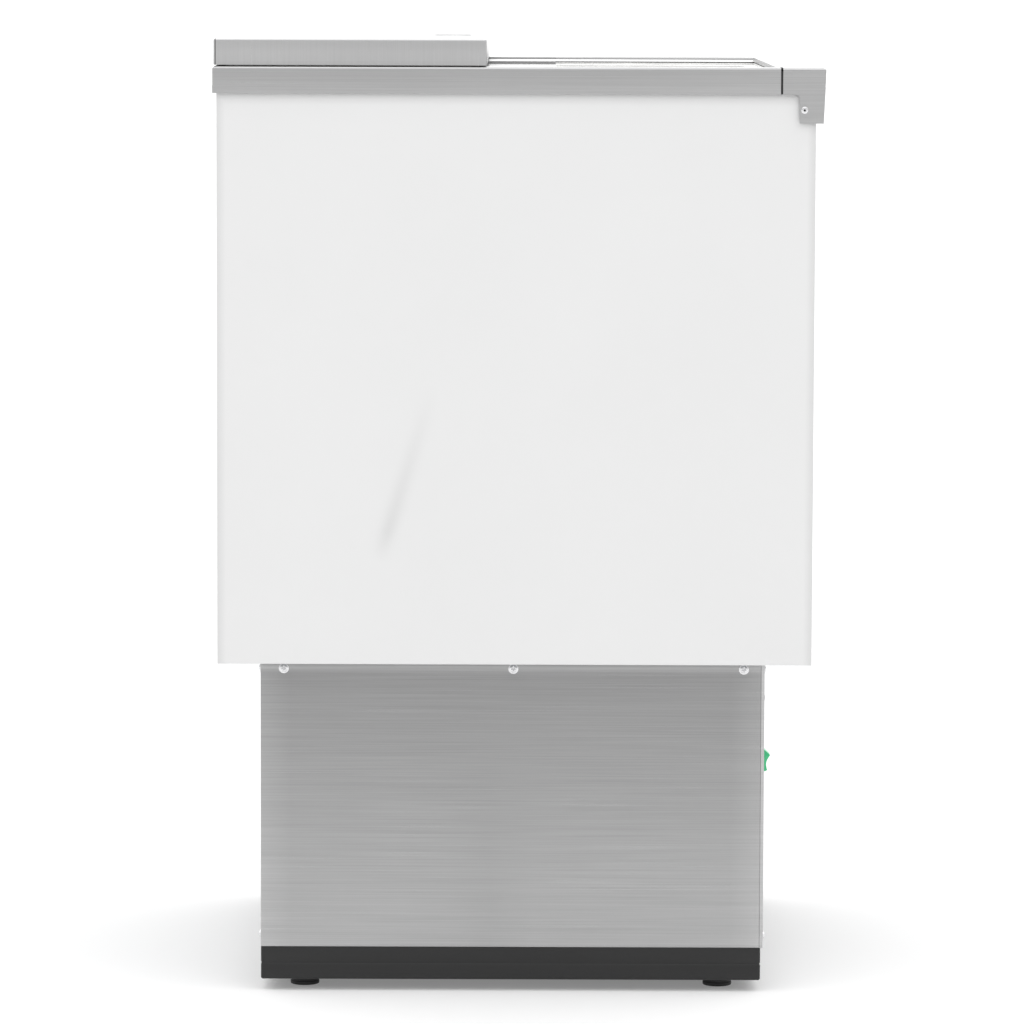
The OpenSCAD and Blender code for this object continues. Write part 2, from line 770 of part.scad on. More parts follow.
module base_screws() {
    color([0.85, 0.85, 0.86]) {
        for (m = [0, 1], y = screw_y) {
            mirror([m, 0, 0]) translate([-base_x, y, screw_z]) side_screw(7);
        }
        for (x = [-1, 1], z = grille_screw_z) {
            translate([x * grille_screw_x, grille_front, z]) rotate([0, 0, 90]) side_screw(8);
            translate([x * grille_screw_x, base_rear, z]) rotate([0, 0, -90]) side_screw(6);
        }
    }
}

// Rows of air slots between two heights, cut along Y
module slots(x0, x1, z0, z1, y0, y1) {
    rows = floor((z1 - z0) / slot_size.y);
    for (i = [0:rows - 1]) {
        z = z0 + (i + 0.5) * (z1 - z0) / rows - slot_size.x / 2;
        box([x0, y0, z], [x1, y1, z + slot_size.x]);
    }
}

module front_grille() {
    y0 = grille_front;
    rib = 14;
    third = (base_x - 18 - cond_x0 + 30) / 2;
    color([0.68, 0.68, 0.69]) difference() {
        box([-base_x, y0, base_z], [base_x, base_front, cab_z]);
        box([-base_x + sheet, y0 + sheet, base_z + sheet], [base_x - sheet, base_front + 1, cab_z - sheet]);
        for (i = [0, 1]) {
            x0 = cond_x0 - 30 + i * third;
            slots(x0, x0 + third - rib, base_z + 22, cab_z - 20, y0 - 1, y0 + 2);
        }
        box([switch_x - opening_half.x - 1.2 - fit_gap, y0 - 1, switch_z - opening_half.y - 1.2 - fit_gap],
            [switch_x + opening_half.x + 1.2 + fit_gap, y0 + 2, switch_z + opening_half.y + 1.2 + fit_gap]);
        box([ctrl_at.x - 35.5 - fit_gap, y0 - 1, ctrl_at.y - 14.5 - fit_gap],
            [ctrl_at.x + 35.5 + fit_gap, y0 + 2, ctrl_at.y + 14.5 + fit_gap]);
        for (x = [-1, 1], z = grille_screw_z) {
            rod_y(x * grille_screw_x, z, y0 - 1, y0 + 3, screw_r + 0.1);
        }
    }
}

// Outside of the pocket around a rear fitting; grow is the sheet that is added or taken off
module rear_pocket(at, grow, y0, y1) {
    h = pocket_half + grow;
    box([at.x - h, y0, at.y - h], [at.x + h, y1, at.y + h]);
}

module rear_grille() {
    y1 = base_rear;
    half = (base_x - 40) / 2;
    fittings = [[drain_at.x, drain_out_z], gland_at];
    color([0.7, 0.7, 0.71]) difference() {
        union() {
            box([-base_x + sheet, y1 - sheet, base_z], [base_x - sheet, y1, cab_z]);
            for (at = fittings) rear_pocket(at, 0, service_y - sheet, y1);
        }
        for (at = fittings) rear_pocket(at, -sheet, service_y, y1 + 1);
        for (i = [-2, -1, 0, 1]) {
            slots(i * half + 8, (i + 1) * half - 8, drain_out_z + 30, cab_z - 40, y1 - 3, y1 + 2);
        }
        rod_y(drain_at.x, drain_out_z, service_y - 5, service_y + 2, drain_r + 0.8 + fit_gap);
        rod_y(gland_at.x, gland_at.y, service_y - 5, service_y + 2, gland_bore_r + 3 + fit_gap);
        for (x = [-1, 1], z = grille_screw_z) {
            rod_y(x * grille_screw_x, z, y1 - 3, y1 + 1, screw_r + 0.1);
        }
    }
}

// ---- feet ----

// Levelling foot: pad, neck and screw, with its axis at the origin and its pad on the floor
module foot(n) {
    translate([feet[n].x * foot_x, foot_y[n < 2 ? 0 : 1], 0]) color([0.1, 0.1, 0.1]) {
        cylinder(r1 = foot_r - 1, r2 = foot_r, h = 1);
        translate([0, 0, 1]) cylinder(r = foot_r, h = foot_h - 4);
        translate([0, 0, foot_h - 3]) cylinder(r = foot_r - 4, h = 3);
        translate([0, 0, foot_h - 1]) cylinder(r = foot_screw_r, h = foot_travel + 22);
    }
}

module foot_nuts() {
    color([0.75, 0.75, 0.76]) for (n = [0:3]) {
        translate([feet[n].x * foot_x, foot_y[n < 2 ? 0 : 1], machine_z]) difference() {
            union() {
                cylinder(r = foot_screw_r + 6, h = 2);
                cylinder(r = foot_screw_r + 4.6, h = 11, $fn = 6);
            }
            translate([0, 0, -1]) cylinder(r = foot_screw_r + run_gap, h = 14);
        }
    }
}

// ---- compressor ----

module compressor_shell() {
    seam_z = comp_h * 0.55;
    color([0.08, 0.08, 0.09]) translate([comp_at.x, comp_at.y, comp_z]) {
        rotate_extrude() difference() {
            union() {
                square([comp_r - 18, comp_h]);
                translate([0, 18]) square([comp_r, comp_h - 44]);
                translate([comp_r - 18, 18]) circle(18);
                translate([comp_r - 26, comp_h - 26]) circle(26);
                translate([0, seam_z]) square([comp_r + 3, 3]);
            }
            translate([-100, -1]) square([100, comp_h + 2]);
        }
        rod([comp_r - 14, 27, comp_h * 0.3], [comp_r + 16, 36, comp_h * 0.3], 6);
        rod([comp_r - 14, -27, comp_h * 0.3], [comp_r + 16, -36, comp_h * 0.3], 5);
    }
}

module compressor_bracket() {
    x = bolt_reach.x + 14;
    y = bolt_reach.y + 14;
    color([0.1, 0.1, 0.1]) translate([comp_at.x, comp_at.y, comp_z - 4]) difference() {
        round_block([-x, -y, 0], [x, y, 4], 12);
        for (i = [-1, 1], j = [-1, 1]) {
            translate([i * bolt_reach.x, j * bolt_reach.y, -1]) cylinder(r = 7.2, h = 6);
        }
    }
}

module compressor_grommets() {
    color([0.15, 0.15, 0.15]) for (i = [-1, 1], j = [-1, 1]) {
        translate([comp_at.x + i * bolt_reach.x, comp_at.y + j * bolt_reach.y, machine_z]) difference() {
            union() {
                cylinder(r = 11, h = comp_z - 4 - machine_z);
                cylinder(r = 7, h = comp_z + 2 - machine_z);
                translate([0, 0, comp_z - machine_z]) cylinder(r = 10, h = 4);
            }
            translate([0, 0, -1]) cylinder(r = 3.2, h = 50);
        }
    }
}

module compressor_bolts() {
    top = comp_z + 4;
    color([0.8, 0.8, 0.81]) for (i = [-1, 1], j = [-1, 1]) {
        translate([comp_at.x + i * bolt_reach.x, comp_at.y + j * bolt_reach.y, 0]) {
            translate([0, 0, pan_z + 0.2]) cylinder(r = 3, h = top - pan_z + 6);
            translate([0, 0, top]) cylinder(r = 8, h = 1.5);
            translate([0, 0, top + 1.5]) cylinder(r = 5.8, h = 5, $fn = 6);
        }
    }
}

module compressor_relay_cover() {
    y1 = comp_at.y - comp_r + 2;
    color([0.12, 0.12, 0.13]) difference() {
        box([comp_at.x - 28, y1 - 34, comp_z + 45], [comp_at.x + 28, y1 + 14, comp_z + 105]);
        translate([comp_at.x, comp_at.y, comp_z + 40]) cylinder(r = comp_r + 3.2, h = 80);
        box([comp_at.x - 25, y1 - 31, comp_z + 48], [comp_at.x + 25, comp_at.y, comp_z + 102]);
    }
}

// ---- condenser and fan ----

module condenser_fins() {
    step = (cond_size.x - 20) / (fin_count - 1);
    slot = tube_r + 0.3;
    color([0.78, 0.79, 0.8]) for (i = [0:fin_count - 1]) {
        across(cond_x0 + 10 + i * step - 0.3, cond_x0 + 10 + i * step + 0.3) difference() {
            translate([cond_y0, cond_z0]) square([cond_size.y, cond_size.z]);
            for (k = [0:pass_count - 1]) {
                translate([cond_y0 - 1, cond_z0 + (k + 0.5) * pass_pitch - slot])
                    square([cond_size.y / 2 + 1 + slot, 2 * slot]);
            }
        }
    }
}

module condenser_coil() {
    x0 = cond_x0 + 5;
    x1 = cond_x0 + cond_size.x - 5;
    color([0.72, 0.45, 0.3]) {
        for (k = [0:pass_count - 1]) {
            z = cond_z0 + (k + 0.5) * pass_pitch;
            last = k == 0 || k == pass_count - 1;
            rod_x(cond_y, z, last ? x0 - 8 : x0, x1, tube_r);
        }
        for (k = [0:pass_count - 2]) {
            right = k % 2 == 0;
            translate([right ? x1 : x0, cond_y, cond_z0 + (k + 1) * pass_pitch])
                rotate([90, right ? 90 : -90, 0]) return_bend(pass_pitch / 2);
        }
    }
}

// Half a ring of tube that joins two passes
module return_bend(r) {
    rotate_extrude(angle = 180) translate([r, 0]) circle(tube_r, $fn = 24);
}

// Plate with the fan's opening and a channel that holds the fin block
module fan_shroud() {
    x0 = cond_x0 - 22;
    x1 = cond_x0 + cond_size.x + 22;
    z0 = machine_z;
    z1 = cond_z0 + cond_size.z + 14;
    color([0.5, 0.51, 0.52]) difference() {
        union() {
            box([x0, shroud_y, z0], [x1, shroud_y + 1.2, z1]);
            for (x = [x0, x1 - 1.2]) box([x, cond_y0, z0], [x + 1.2, shroud_y + 1, z1]);
            box([x0, cond_y0, z1 - 1.2], [x1, shroud_y + 1, z1]);
            box([x0, cond_y0, cond_z0 - 1.2], [x1, shroud_y + 1, cond_z0]);
            rod_y(fan_at.x, fan_at.y, shroud_y, shroud_y + 16, fan_r + 3);
        }
        rod_y(fan_at.x, fan_at.y, shroud_y - 1, shroud_y + 20, fan_r + 1);
        rod_x(cond_y, cond_z0 + 0.5 * pass_pitch, x0 - 1, x0 + 3, tube_r + 1);
        rod_x(cond_y, cond_z0 + cond_size.z - 0.5 * pass_pitch, x0 - 1, x0 + 3, tube_r + 1);
    }
}

module fan_motor() {
    color([0.25, 0.26, 0.27]) difference() {
        union() {
            rod_y(fan_at.x, fan_at.y, motor_y, motor_y + motor_len, motor_r);
            rod_y(fan_at.x, fan_at.y, motor_y - 5, motor_y + 1, 12);
        }
        rod_y(fan_at.x, fan_at.y, motor_y - 6, motor_y + 24, shaft_r + run_gap);
    }
}

// Four arms from the shroud's ring to a band around the motor
module fan_motor_bracket() {
    color([0.3, 0.31, 0.32]) {
        difference() {
            rod_y(fan_at.x, fan_at.y, motor_y + 14, motor_y + 26, motor_r + 2);
            rod_y(fan_at.x, fan_at.y, motor_y + 10, motor_y + 30, motor_r);
        }
        translate([fan_at.x, 0, fan_at.y]) for (a = [45:90:315]) rotate([0, a, 0]) {
            box([motor_r + 1, motor_y + 14, -4], [fan_r + 6, motor_y + 17, 4]);
            box([fan_r + 4, shroud_y + 1.2, -4], [fan_r + 7, motor_y + 17, 4]);
        }
    }
}

module fan_blade() {
    hub_r = 24;
    color([0.14, 0.14, 0.15]) {
        difference() {
            rod_y(fan_at.x, fan_at.y, fan_y - 11, fan_y + 13, hub_r);
            rod_y(fan_at.x, fan_at.y, fan_y + 3, fan_y + 14, hub_r - 3);
        }
        rod_y(fan_at.x, fan_at.y, fan_y, motor_y + 20, shaft_r);
        intersection() {
            rod_y(fan_at.x, fan_at.y, fan_y - 16, fan_y + 16, fan_r - 3);
            translate([fan_at.x, fan_y, fan_at.y]) for (a = [0:72:288]) {
                rotate([0, a, 0]) translate([hub_r - 3, 0, 0]) rotate([24, 0, 0])
                    box([0, -1, -24], [fan_r, 1, 24]);
            }
        }
    }
}

// ---- refrigerant lines ----

drier_x = cond_x0 - 60;
drier_z = cond_z0 + 20;

module filter_drier() {
    color([0.72, 0.45, 0.3]) translate([drier_x, cond_y, drier_z]) {
        cylinder(r = 9, h = 90);
        translate([0, 0, 90]) cylinder(r1 = 9, r2 = 3, h = 10);
        translate([0, 0, -10]) cylinder(r1 = 3, r2 = 9, h = 10);
    }
}

module liquid_line() {
    z = cond_z0 + 0.5 * pass_pitch;
    color([0.72, 0.45, 0.3]) pipe([[cond_x0 - 3, cond_y, z], [drier_x + 20, cond_y, z],
        [drier_x + 20, cond_y, drier_z - 22], [drier_x, cond_y, drier_z - 22],
        [drier_x, cond_y, drier_z - 10]], 3);
}

module capillary_line() {
    top = drier_z + 100;
    run_z = cab_z - 18;
    high = coil_z[1] + 6;
    color([0.72, 0.45, 0.3]) pipe([[drier_x, cond_y, top], [drier_x, cond_y, run_z],
        [drier_x, capillary_at.y, run_z], [capillary_at.x, capillary_at.y, run_z],
        [capillary_at.x, capillary_at.y, high], [coil_x, capillary_at.y, high],
        [coil_x, capillary_at.y, coil_z[1] + evap_r - 0.5]], 1.6);
}

module discharge_line() {
    z = cond_z0 + cond_size.z - 0.5 * pass_pitch;
    port = [comp_at.x + comp_r + 16, comp_at.y - 36, comp_z + comp_h * 0.3];
    color([0.72, 0.45, 0.3]) pipe([port, port + [20, 0, 0], [port.x + 20, port.y, z + 34],
        [cond_x0 - 30, port.y, z + 34], [cond_x0 - 30, cond_y, z + 34], [cond_x0 - 30, cond_y, z],
        [cond_x0 - 3, cond_y, z]], 3.5);
}

module suction_line() {
    port = [comp_at.x + comp_r + 16, comp_at.y + 36, comp_z + comp_h * 0.3];
    run_z = cab_z - 32;
    color([0.2, 0.2, 0.2]) pipe([port, port + [14, 0, 0], [port.x + 14, port.y, run_z],
        [suction_at.x, port.y, run_z], [suction_at.x, suction_at.y, run_z],
        [suction_at.x, suction_at.y, coil_z[0]], [suction_at.x, coil_start_y, coil_z[0]]], evap_r);
}

// ---- switch and controller ----

// Housing with a bezel, a well for the rocker and three terminals
module switch_body() {
    half = opening_half + [1.2, 1.2];
    color([0.06, 0.06, 0.06]) translate([switch_x, 0, switch_z]) {
        difference() {
            union() {
                box([-half.x, grille_front, -half.y], [half.x, grille_front + 24, half.y]);
                box([-half.x - 1.8, grille_front - bezel_t, -half.y - 1.8],
                    [half.x + 1.8, grille_front, half.y + 1.8]);
            }
            box([-opening_half.x, grille_front - 5, -opening_half.y],
                [opening_half.x, grille_front + 20, opening_half.y]);
            rod_x(pivot_y, 0, -half.x + 0.2, half.x - 0.2, pin_r + run_gap);
        }
        for (z = [-8, 0, 8]) box([-3, grille_front + 24, z - 0.4], [3, grille_front + 33, z + 0.4]);
    }
}

// End view of the rocker about its pivot: two walls and a hollowed face
module rocker_outline() {
    hollow_r = 30;
    depth = 2.4;
    difference() {
        polygon([[-rocker_tip, -rocker_half.y], [1, -rocker_half.y + 1.4], [4, 0],
            [1, rocker_half.y - 1.4], [-rocker_tip, rocker_half.y]]);
        translate([-rocker_tip + depth - hollow_r, 0]) circle(hollow_r);
    }
}

module switch_rocker() {
    color([0.15, 0.72, 0.42]) translate([switch_x, pivot_y, switch_z]) {
        rotate([rocker_half_throw, 0, 0]) across(-rocker_half.x, rocker_half.x) rocker_outline();
        rotate([0, 90, 0]) cylinder(r = pin_r, h = 2 * (rocker_half.x + 1), center = true);
    }
}

module controller_body() {
    y0 = grille_front - 2;
    color([0.08, 0.08, 0.09]) translate([ctrl_at.x, 0, ctrl_at.y]) difference() {
        union() {
            box([-ctrl_half.x, y0, -ctrl_half.y], [ctrl_half.x, grille_front, ctrl_half.y]);
            box([-35.5, grille_front, -14.5], [35.5, grille_front + 56, 14.5]);
        }
        for (k = key_at) {
            box([k.x - key_half.x - fit_gap, y0 - 1, k.y - key_half.y - fit_gap],
                [k.x + key_half.x + fit_gap, y0 + 4, k.y + key_half.y + fit_gap]);
        }
        box([-16, y0 - 1, -9], [16, y0 + 1, 9]);
    }
}

module controller_window() {
    y0 = grille_front - 2;
    color([0.25, 0.03, 0.03]) translate([ctrl_at.x, 0, ctrl_at.y])
        box([-16, y0 + 0.1, -9], [16, y0 + 1, 9]);
}

module controller_key(n) {
    y0 = grille_front - 2;
    color([0.75, 0.76, 0.77]) translate([ctrl_at.x + key_at[n].x, 0, ctrl_at.y + key_at[n].y])
        box([-key_half.x, y0 - 1, -key_half.y], [key_half.x, y0 + 4 - key_travel - 0.4, key_half.y]);
}

module electrical_box() {
    t = 1.2;
    color([0.6, 0.61, 0.62]) translate(box_lo) difference() {
        cube(box_size);
        box([t, t, t], box_size - [t, t, t]);
        rod_y(60, 20, -1, 5, 9);
    }
}

// Cord gland in the rear grille; its bore takes the supply cord
module power_gland() {
    body_r = gland_bore_r + 3;
    color([0.1, 0.1, 0.1]) difference() {
        union() {
            rod_y(gland_at.x, gland_at.y, service_y - 14, service_y + 20, body_r);
            rod_y(gland_at.x, gland_at.y, service_y, service_y + 5, body_r + 4);
            translate([gland_at.x, service_y - sheet, gland_at.y]) rotate([90, 0, 0])
                cylinder(r = body_r + 4.6, h = 6, $fn = 6);
        }
        rod_y(gland_at.x, gland_at.y, service_y - 16, service_y + 22, gland_bore_r);
    }
}

left_side_panel();
right_side_panel();
front_panel();
rear_panel();
cabinet_bottom();
insulation();
well_liner();
breaker_frame();
top_frame();
rear_deck();
deck_foam();
deck_liner();
front_rail();
front_rail_rivets();
lid_shell();
lid_foam();
lid_liner();
lid_gasket();
lid_glides();
lid_pull();
wire_rack();
drain_pipe();
evaporator_coil();
base_pan();
base_left_panel();
base_right_panel();
front_grille();
rear_grille();
base_frame();
base_screws();
foot(0);  // foot_front_left
foot(1);  // foot_front_right
foot(2);  // foot_rear_left
foot(3);  // foot_rear_right
foot_nuts();
compressor_shell();
compressor_bracket();
compressor_grommets();
compressor_bolts();
compressor_relay_cover();
condenser_fins();
condenser_coil();
fan_shroud();
fan_motor();
fan_motor_bracket();
fan_blade();
filter_drier();
suction_line();
discharge_line();
liquid_line();
capillary_line();
switch_body();
switch_rocker();
controller_body();
controller_window();
controller_key(0);  // controller_key_set
controller_key(1);  // controller_key_up
controller_key(2);  // controller_key_down
electrical_box();
power_gland();
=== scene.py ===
"""Looks of the chest freezer: an insulated white cabinet on a narrower machine base.

Run as a script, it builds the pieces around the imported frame. Metres throughout.
"""

import math

import bpy
import numpy as np
from bpy.props import FloatProperty, FloatVectorProperty, PointerProperty
from mathutils import Matrix, Quaternion, Vector


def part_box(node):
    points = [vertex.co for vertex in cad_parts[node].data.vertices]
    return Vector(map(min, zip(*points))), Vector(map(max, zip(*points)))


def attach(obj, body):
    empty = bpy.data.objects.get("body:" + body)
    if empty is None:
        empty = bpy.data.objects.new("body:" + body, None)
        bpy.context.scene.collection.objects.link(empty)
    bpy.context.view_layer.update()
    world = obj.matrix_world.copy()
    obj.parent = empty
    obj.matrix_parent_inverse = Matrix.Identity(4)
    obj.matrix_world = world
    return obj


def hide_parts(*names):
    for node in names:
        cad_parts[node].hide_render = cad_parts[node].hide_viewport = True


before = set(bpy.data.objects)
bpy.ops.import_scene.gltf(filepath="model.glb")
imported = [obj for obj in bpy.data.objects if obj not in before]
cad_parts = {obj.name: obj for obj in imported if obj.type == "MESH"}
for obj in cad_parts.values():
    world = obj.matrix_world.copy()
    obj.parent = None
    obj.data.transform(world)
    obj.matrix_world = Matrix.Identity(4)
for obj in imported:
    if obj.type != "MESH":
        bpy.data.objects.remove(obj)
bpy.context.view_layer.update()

bl_info = {
    "name": "Chest Freezer",
    "version": (1, 0, 0),
    "blender": (4, 5, 0),
    "location": "View3D > Sidebar > Freezer",
    "description": "Builds a chest freezer with a sliding lid around its packed frame",
    "category": "Add Mesh",
}

MM = 0.001
TURN = 2 * math.pi
QUARTER = math.pi / 2
TRIM = 0.05 * MM  # least gap between faces that would otherwise coincide


# ---- frame places ----


def corners(node):
    """Lowest and highest corner of a frame node, as arrays."""
    low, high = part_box(node)
    return np.array(low, float), np.array(high, float)


def middle(node):
    """Centre of a frame node."""
    low, high = corners(node)
    return (low + high) / 2


def sizes():
    return bpy.context.scene.freezer_sizes


def colours():
    return bpy.context.scene.freezer_colours


# ---- surfaces ----


def grid_faces(rows, columns, wrap_rows=False, wrap_columns=True, first=0):
    """Quads of a grid of points that is stored row after row; either way may close on itself."""
    row = np.arange(rows if wrap_rows else rows - 1)[:, None]
    column = np.arange(columns if wrap_columns else columns - 1)[None, :]
    next_row, next_column = (row + 1) % rows, (column + 1) % columns
    quads = np.stack(
        [
            row * columns + column,
            row * columns + next_column,
            next_row * columns + next_column,
            next_row * columns + column,
        ],
        -1,
    )
    return quads.reshape(-1, 4) + first


def placed_in_scene(name, data):
    """A new object with its data, linked to the scene."""
    made = bpy.data.objects.new(name, data)
    bpy.context.scene.collection.objects.link(made)
    return made


def signed_volume(points, quads, fans):
    """Volume inside the faces by the divergence theorem; negative if they point inwards."""
    triangles = [quads[:, [0, 1, 2]], quads[:, [0, 2, 3]]]
    for fan in fans:
        fan = np.asarray(fan)
        triangles.append(np.stack([np.full(len(fan) - 2, fan[0]), fan[1:-1], fan[2:]], -1))
    a, b, c = (points[np.concatenate(triangles)[:, i]] for i in range(3))
    return float(np.einsum("ij,ij->i", a, np.cross(b, c)).sum() / 6)


def skin_mesh(name, parts, smooth_angle=40.0):
    """One object from parts of (points, quads, fans); each closed part is turned to face outwards."""
    points, loops, starts, count, corner = [], [], [], 0, 0
    for part_points, quads, fans in parts:
        part_points = np.asarray(part_points, float).reshape(-1, 3)
        centred = part_points - part_points.mean(0)
        flip = signed_volume(centred, quads, fans) < 0
        quads = quads[:, ::-1] if flip else quads
        loops.append((quads + count).ravel())
        starts.append(corner + 4 * np.arange(len(quads)))
        corner += 4 * len(quads)
        for fan in fans:
            fan = np.asarray(fan)[::-1] if flip else np.asarray(fan)
            loops.append(fan + count)
            starts.append(np.array([corner]))
            corner += len(fan)
        points.append(part_points)
        count += len(part_points)
    mesh = bpy.data.meshes.new(name)
    mesh.vertices.add(count)
    mesh.vertices.foreach_set("co", np.concatenate(points).ravel())
    mesh.loops.add(corner)
    mesh.loops.foreach_set("vertex_index", np.concatenate(loops).astype(np.int32))
    starts = np.concatenate(starts).astype(np.int32)
    mesh.polygons.add(len(starts))
    mesh.polygons.foreach_set("loop_start", starts)
    mesh.polygons.foreach_set("use_smooth", np.ones(len(starts), bool))
    mesh.update(calc_edges=True)
    mesh.validate()
    mesh.set_sharp_from_angle(angle=math.radians(smooth_angle))
    return placed_in_scene(name, mesh)


def tube_part(stack):
    """Closed outlines carried along a way, with a flat cap at either end."""
    rows, columns = stack.shape[:2]
    caps = [np.arange(columns)[::-1], np.arange(columns) + (rows - 1) * columns]
    return stack.reshape(-1, 3), grid_faces(rows, columns), caps


def ring_part(stack):
    """Closed outlines carried round until the last one meets the first."""
    rows, columns = stack.shape[:2]
    return stack.reshape(-1, 3), grid_faces(rows, columns, wrap_rows=True), []


def shell_part(inside, outside):
    """Open-topped shell from two stacks that run from rim to floor and from floor to rim.

    Their rims are joined all round, and each floor is closed by a flat cap.
    """
    rows, columns = inside.shape[:2]
    points = np.concatenate([inside, outside])
    first = (len(points) - 1) * columns
    column = np.arange(columns)
    following = (column + 1) % columns
    rim = np.stack([first + column, first + following, following, column], -1)
    quads = np.concatenate([
        grid_faces(rows, columns),
        grid_faces(len(outside), columns, first=rows * columns),
        rim,
    ])
    caps = [column + (rows - 1) * columns, (column + rows * columns)[::-1]]
    return points.reshape(-1, 3), quads, caps


def outline(low, high, radius, z, steps=6):
    """Rectangle in plan with round corners, as four quarter arcs joined by straight sides."""
    angle = np.arange(4)[:, None] * QUARTER + np.linspace(0, QUARTER, steps + 1)[None, :]
    hub_x = np.array([high[0] - radius, low[0] + radius, low[0] + radius, high[0] - radius])
    hub_y = np.array([high[1] - radius, high[1] - radius, low[1] + radius, low[1] + radius])
    x = hub_x[:, None] + radius * np.cos(angle)
    y = hub_y[:, None] + radius * np.sin(angle)
    return np.stack([x, y, np.full_like(x, z)], -1).reshape(-1, 3)


def moulded(low, high, radius, profile, steps=6):
    """Stack of outlines: each (out, z) of the profile moves a round rectangle's side outwards by out."""
    low, high = np.asarray(low[:2]), np.asarray(high[:2])
    rings = [
        outline(low - out, high + out, max(radius + out, TRIM), z, steps)
        for out, z in profile
    ]
    return np.array(rings)


def bend(out, z, radius, start, stop, steps=5):
    """Arc of (out, z) points about a centre, angles in degrees from the outward direction."""
    angle = np.radians(np.linspace(start, stop, steps + 1))
    return list(zip(out + radius * np.cos(angle), z + radius * np.sin(angle)))


def lathe_part(profile, steps=40):
    """Surface of revolution about Z of (radius, height) points; ends on the axis close in a fan."""
    profile = np.asarray(profile, float)
    angle = np.linspace(0, TURN, steps, endpoint=False)
    x = profile[:, 0, None] * np.cos(angle)
    y = profile[:, 0, None] * np.sin(angle)
    z = np.broadcast_to(profile[:, 1, None], x.shape)
    return tube_part(np.stack([x, y, z], -1))


def wire_part(path, radius, sides=10, closed=False):
    """Round wire: a circle carried along the path, square to it, in frames with little twist."""
    path = np.asarray(path, float)
    if closed:
        along = np.roll(path, -1, 0) - np.roll(path, 1, 0)
    else:
        along = np.gradient(path, axis=0)
    along /= np.linalg.norm(along, axis=1)[:, None]
    side = np.empty_like(along)
    helper = np.array([0.0, 0.0, 1.0]) if abs(along[0][2]) < 0.9 else np.array([1.0, 0.0, 0.0])
    side[0] = np.cross(along[0], helper)
    for i in range(1, len(path)):
        side[i] = side[i - 1] - along[i] * (side[i - 1] @ along[i])
        side[i] /= np.linalg.norm(side[i])
    side[0] /= np.linalg.norm(side[0])
    other = np.cross(along, side)
    angle = np.linspace(0, TURN, sides, endpoint=False)[None, :, None]
    stack = path[:, None] + radius * (np.cos(angle) * side[:, None] + np.sin(angle) * other[:, None])
    return ring_part(stack) if closed else tube_part(stack)


def turned(part, matrix):
    """A part with its points moved by a matrix."""
    points, quads, fans = part
    m = np.array(matrix)
    return np.asarray(points).reshape(-1, 3) @ m[:3, :3].T + m[:3, 3], quads, fans


def facing(direction, place):
    """Matrix that turns +Z to a direction and moves the origin to a place."""
    turn = Vector(direction).to_track_quat("Z", "Y").to_matrix().to_4x4()
    return Matrix.Translation(Vector(place)) @ turn


def round_box_part(low, high, radius, steps=4):
    """Box with round edges: stacked outlines that draw in along a quarter circle at either end."""
    low, high = np.asarray(low, float), np.asarray(high, float)
    angle = np.linspace(0, QUARTER, steps + 1)
    lower = [(radius * (np.sin(a) - 1), low[2] + radius * (1 - np.cos(a))) for a in angle]
    upper = [(radius * (np.cos(a) - 1), high[2] - radius * (1 - np.sin(a))) for a in angle]
    return tube_part(moulded(low, high, radius, lower + upper, steps))


# ---- finishes ----


def blank(name):
    """A new material with its node tree and its Principled shader."""
    made = bpy.data.materials.new(name)
    made.use_nodes = True
    return made, made.node_tree, made.node_tree.nodes["Principled BSDF"]


def placed(name):
    """A new material, its tree and shader, and the place on the piece that its patterns read."""
    made, tree, shader = blank(name)
    return made, tree, shader, put(tree, "TexCoord").outputs["Object"]


def put(tree, kind, inputs=None, **settings):
    """Adds a node with its settings, its inputs filled by numbers or by other nodes' sockets."""
    made = tree.nodes.new("ShaderNode" + kind)
    for key, value in settings.items():
        setattr(made, key, value)
    for key, value in (inputs or {}).items():
        if isinstance(value, bpy.types.NodeSocket):
            tree.links.new(value, made.inputs[key])
        else:
            made.inputs[key].default_value = value
    return made


def calc(tree, operation, *values):
    """Math node's output for sockets or numbers."""
    made = put(tree, "Math", dict(enumerate(values)), operation=operation)
    return made.outputs[0]


def plus(tree, a, b):
    return calc(tree, "ADD", a, b)


def less(tree, a, b):
    return calc(tree, "SUBTRACT", a, b)


def times(tree, a, b):
    return calc(tree, "MULTIPLY", a, b)


def size_of(tree, a):
    return calc(tree, "ABSOLUTE", a)


def spread(tree, value, low, high, to_low, to_high):
    """Map Range node's output, clamped."""
    inputs = {0: value, 1: low, 2: high, 3: to_low, 4: to_high}
    return put(tree, "MapRange", inputs).outputs[0]


def tinted(tree, colour, factor):
    """A colour multiplied by a grey factor."""
    grey = put(tree, "CombineColor", {0: factor, 1: factor, 2: factor}).outputs[0]
    inputs = {0: 1.0, 6: grey, 7: (*colour, 1.0)}
    made = put(tree, "Mix", inputs, data_type="RGBA", blend_type="MULTIPLY")
    return made.outputs[2]


def shift(tree, value, low, high):
    """Noise, which stays near its middle, spread over a range."""
    return spread(tree, value, 0.3, 0.7, low, high)


def coat(tree, shader, colour, factor, roughness):
    """Feeds the shader a colour times a factor, and a roughness from a number or a socket."""
    tree.links.new(tinted(tree, colour, factor), shader.inputs["Base Color"])
    if isinstance(roughness, float):
        shader.inputs["Roughness"].default_value = roughness
    else:
        tree.links.new(roughness, shader.inputs["Roughness"])


def noise(tree, vector, scale, detail=2.0, rough=0.5):
    """Noise texture's height at a vector."""
    inputs = {"Vector": vector, "Scale": scale, "Detail": detail, "Roughness": rough}
    return put(tree, "TexNoise", inputs).outputs[0]


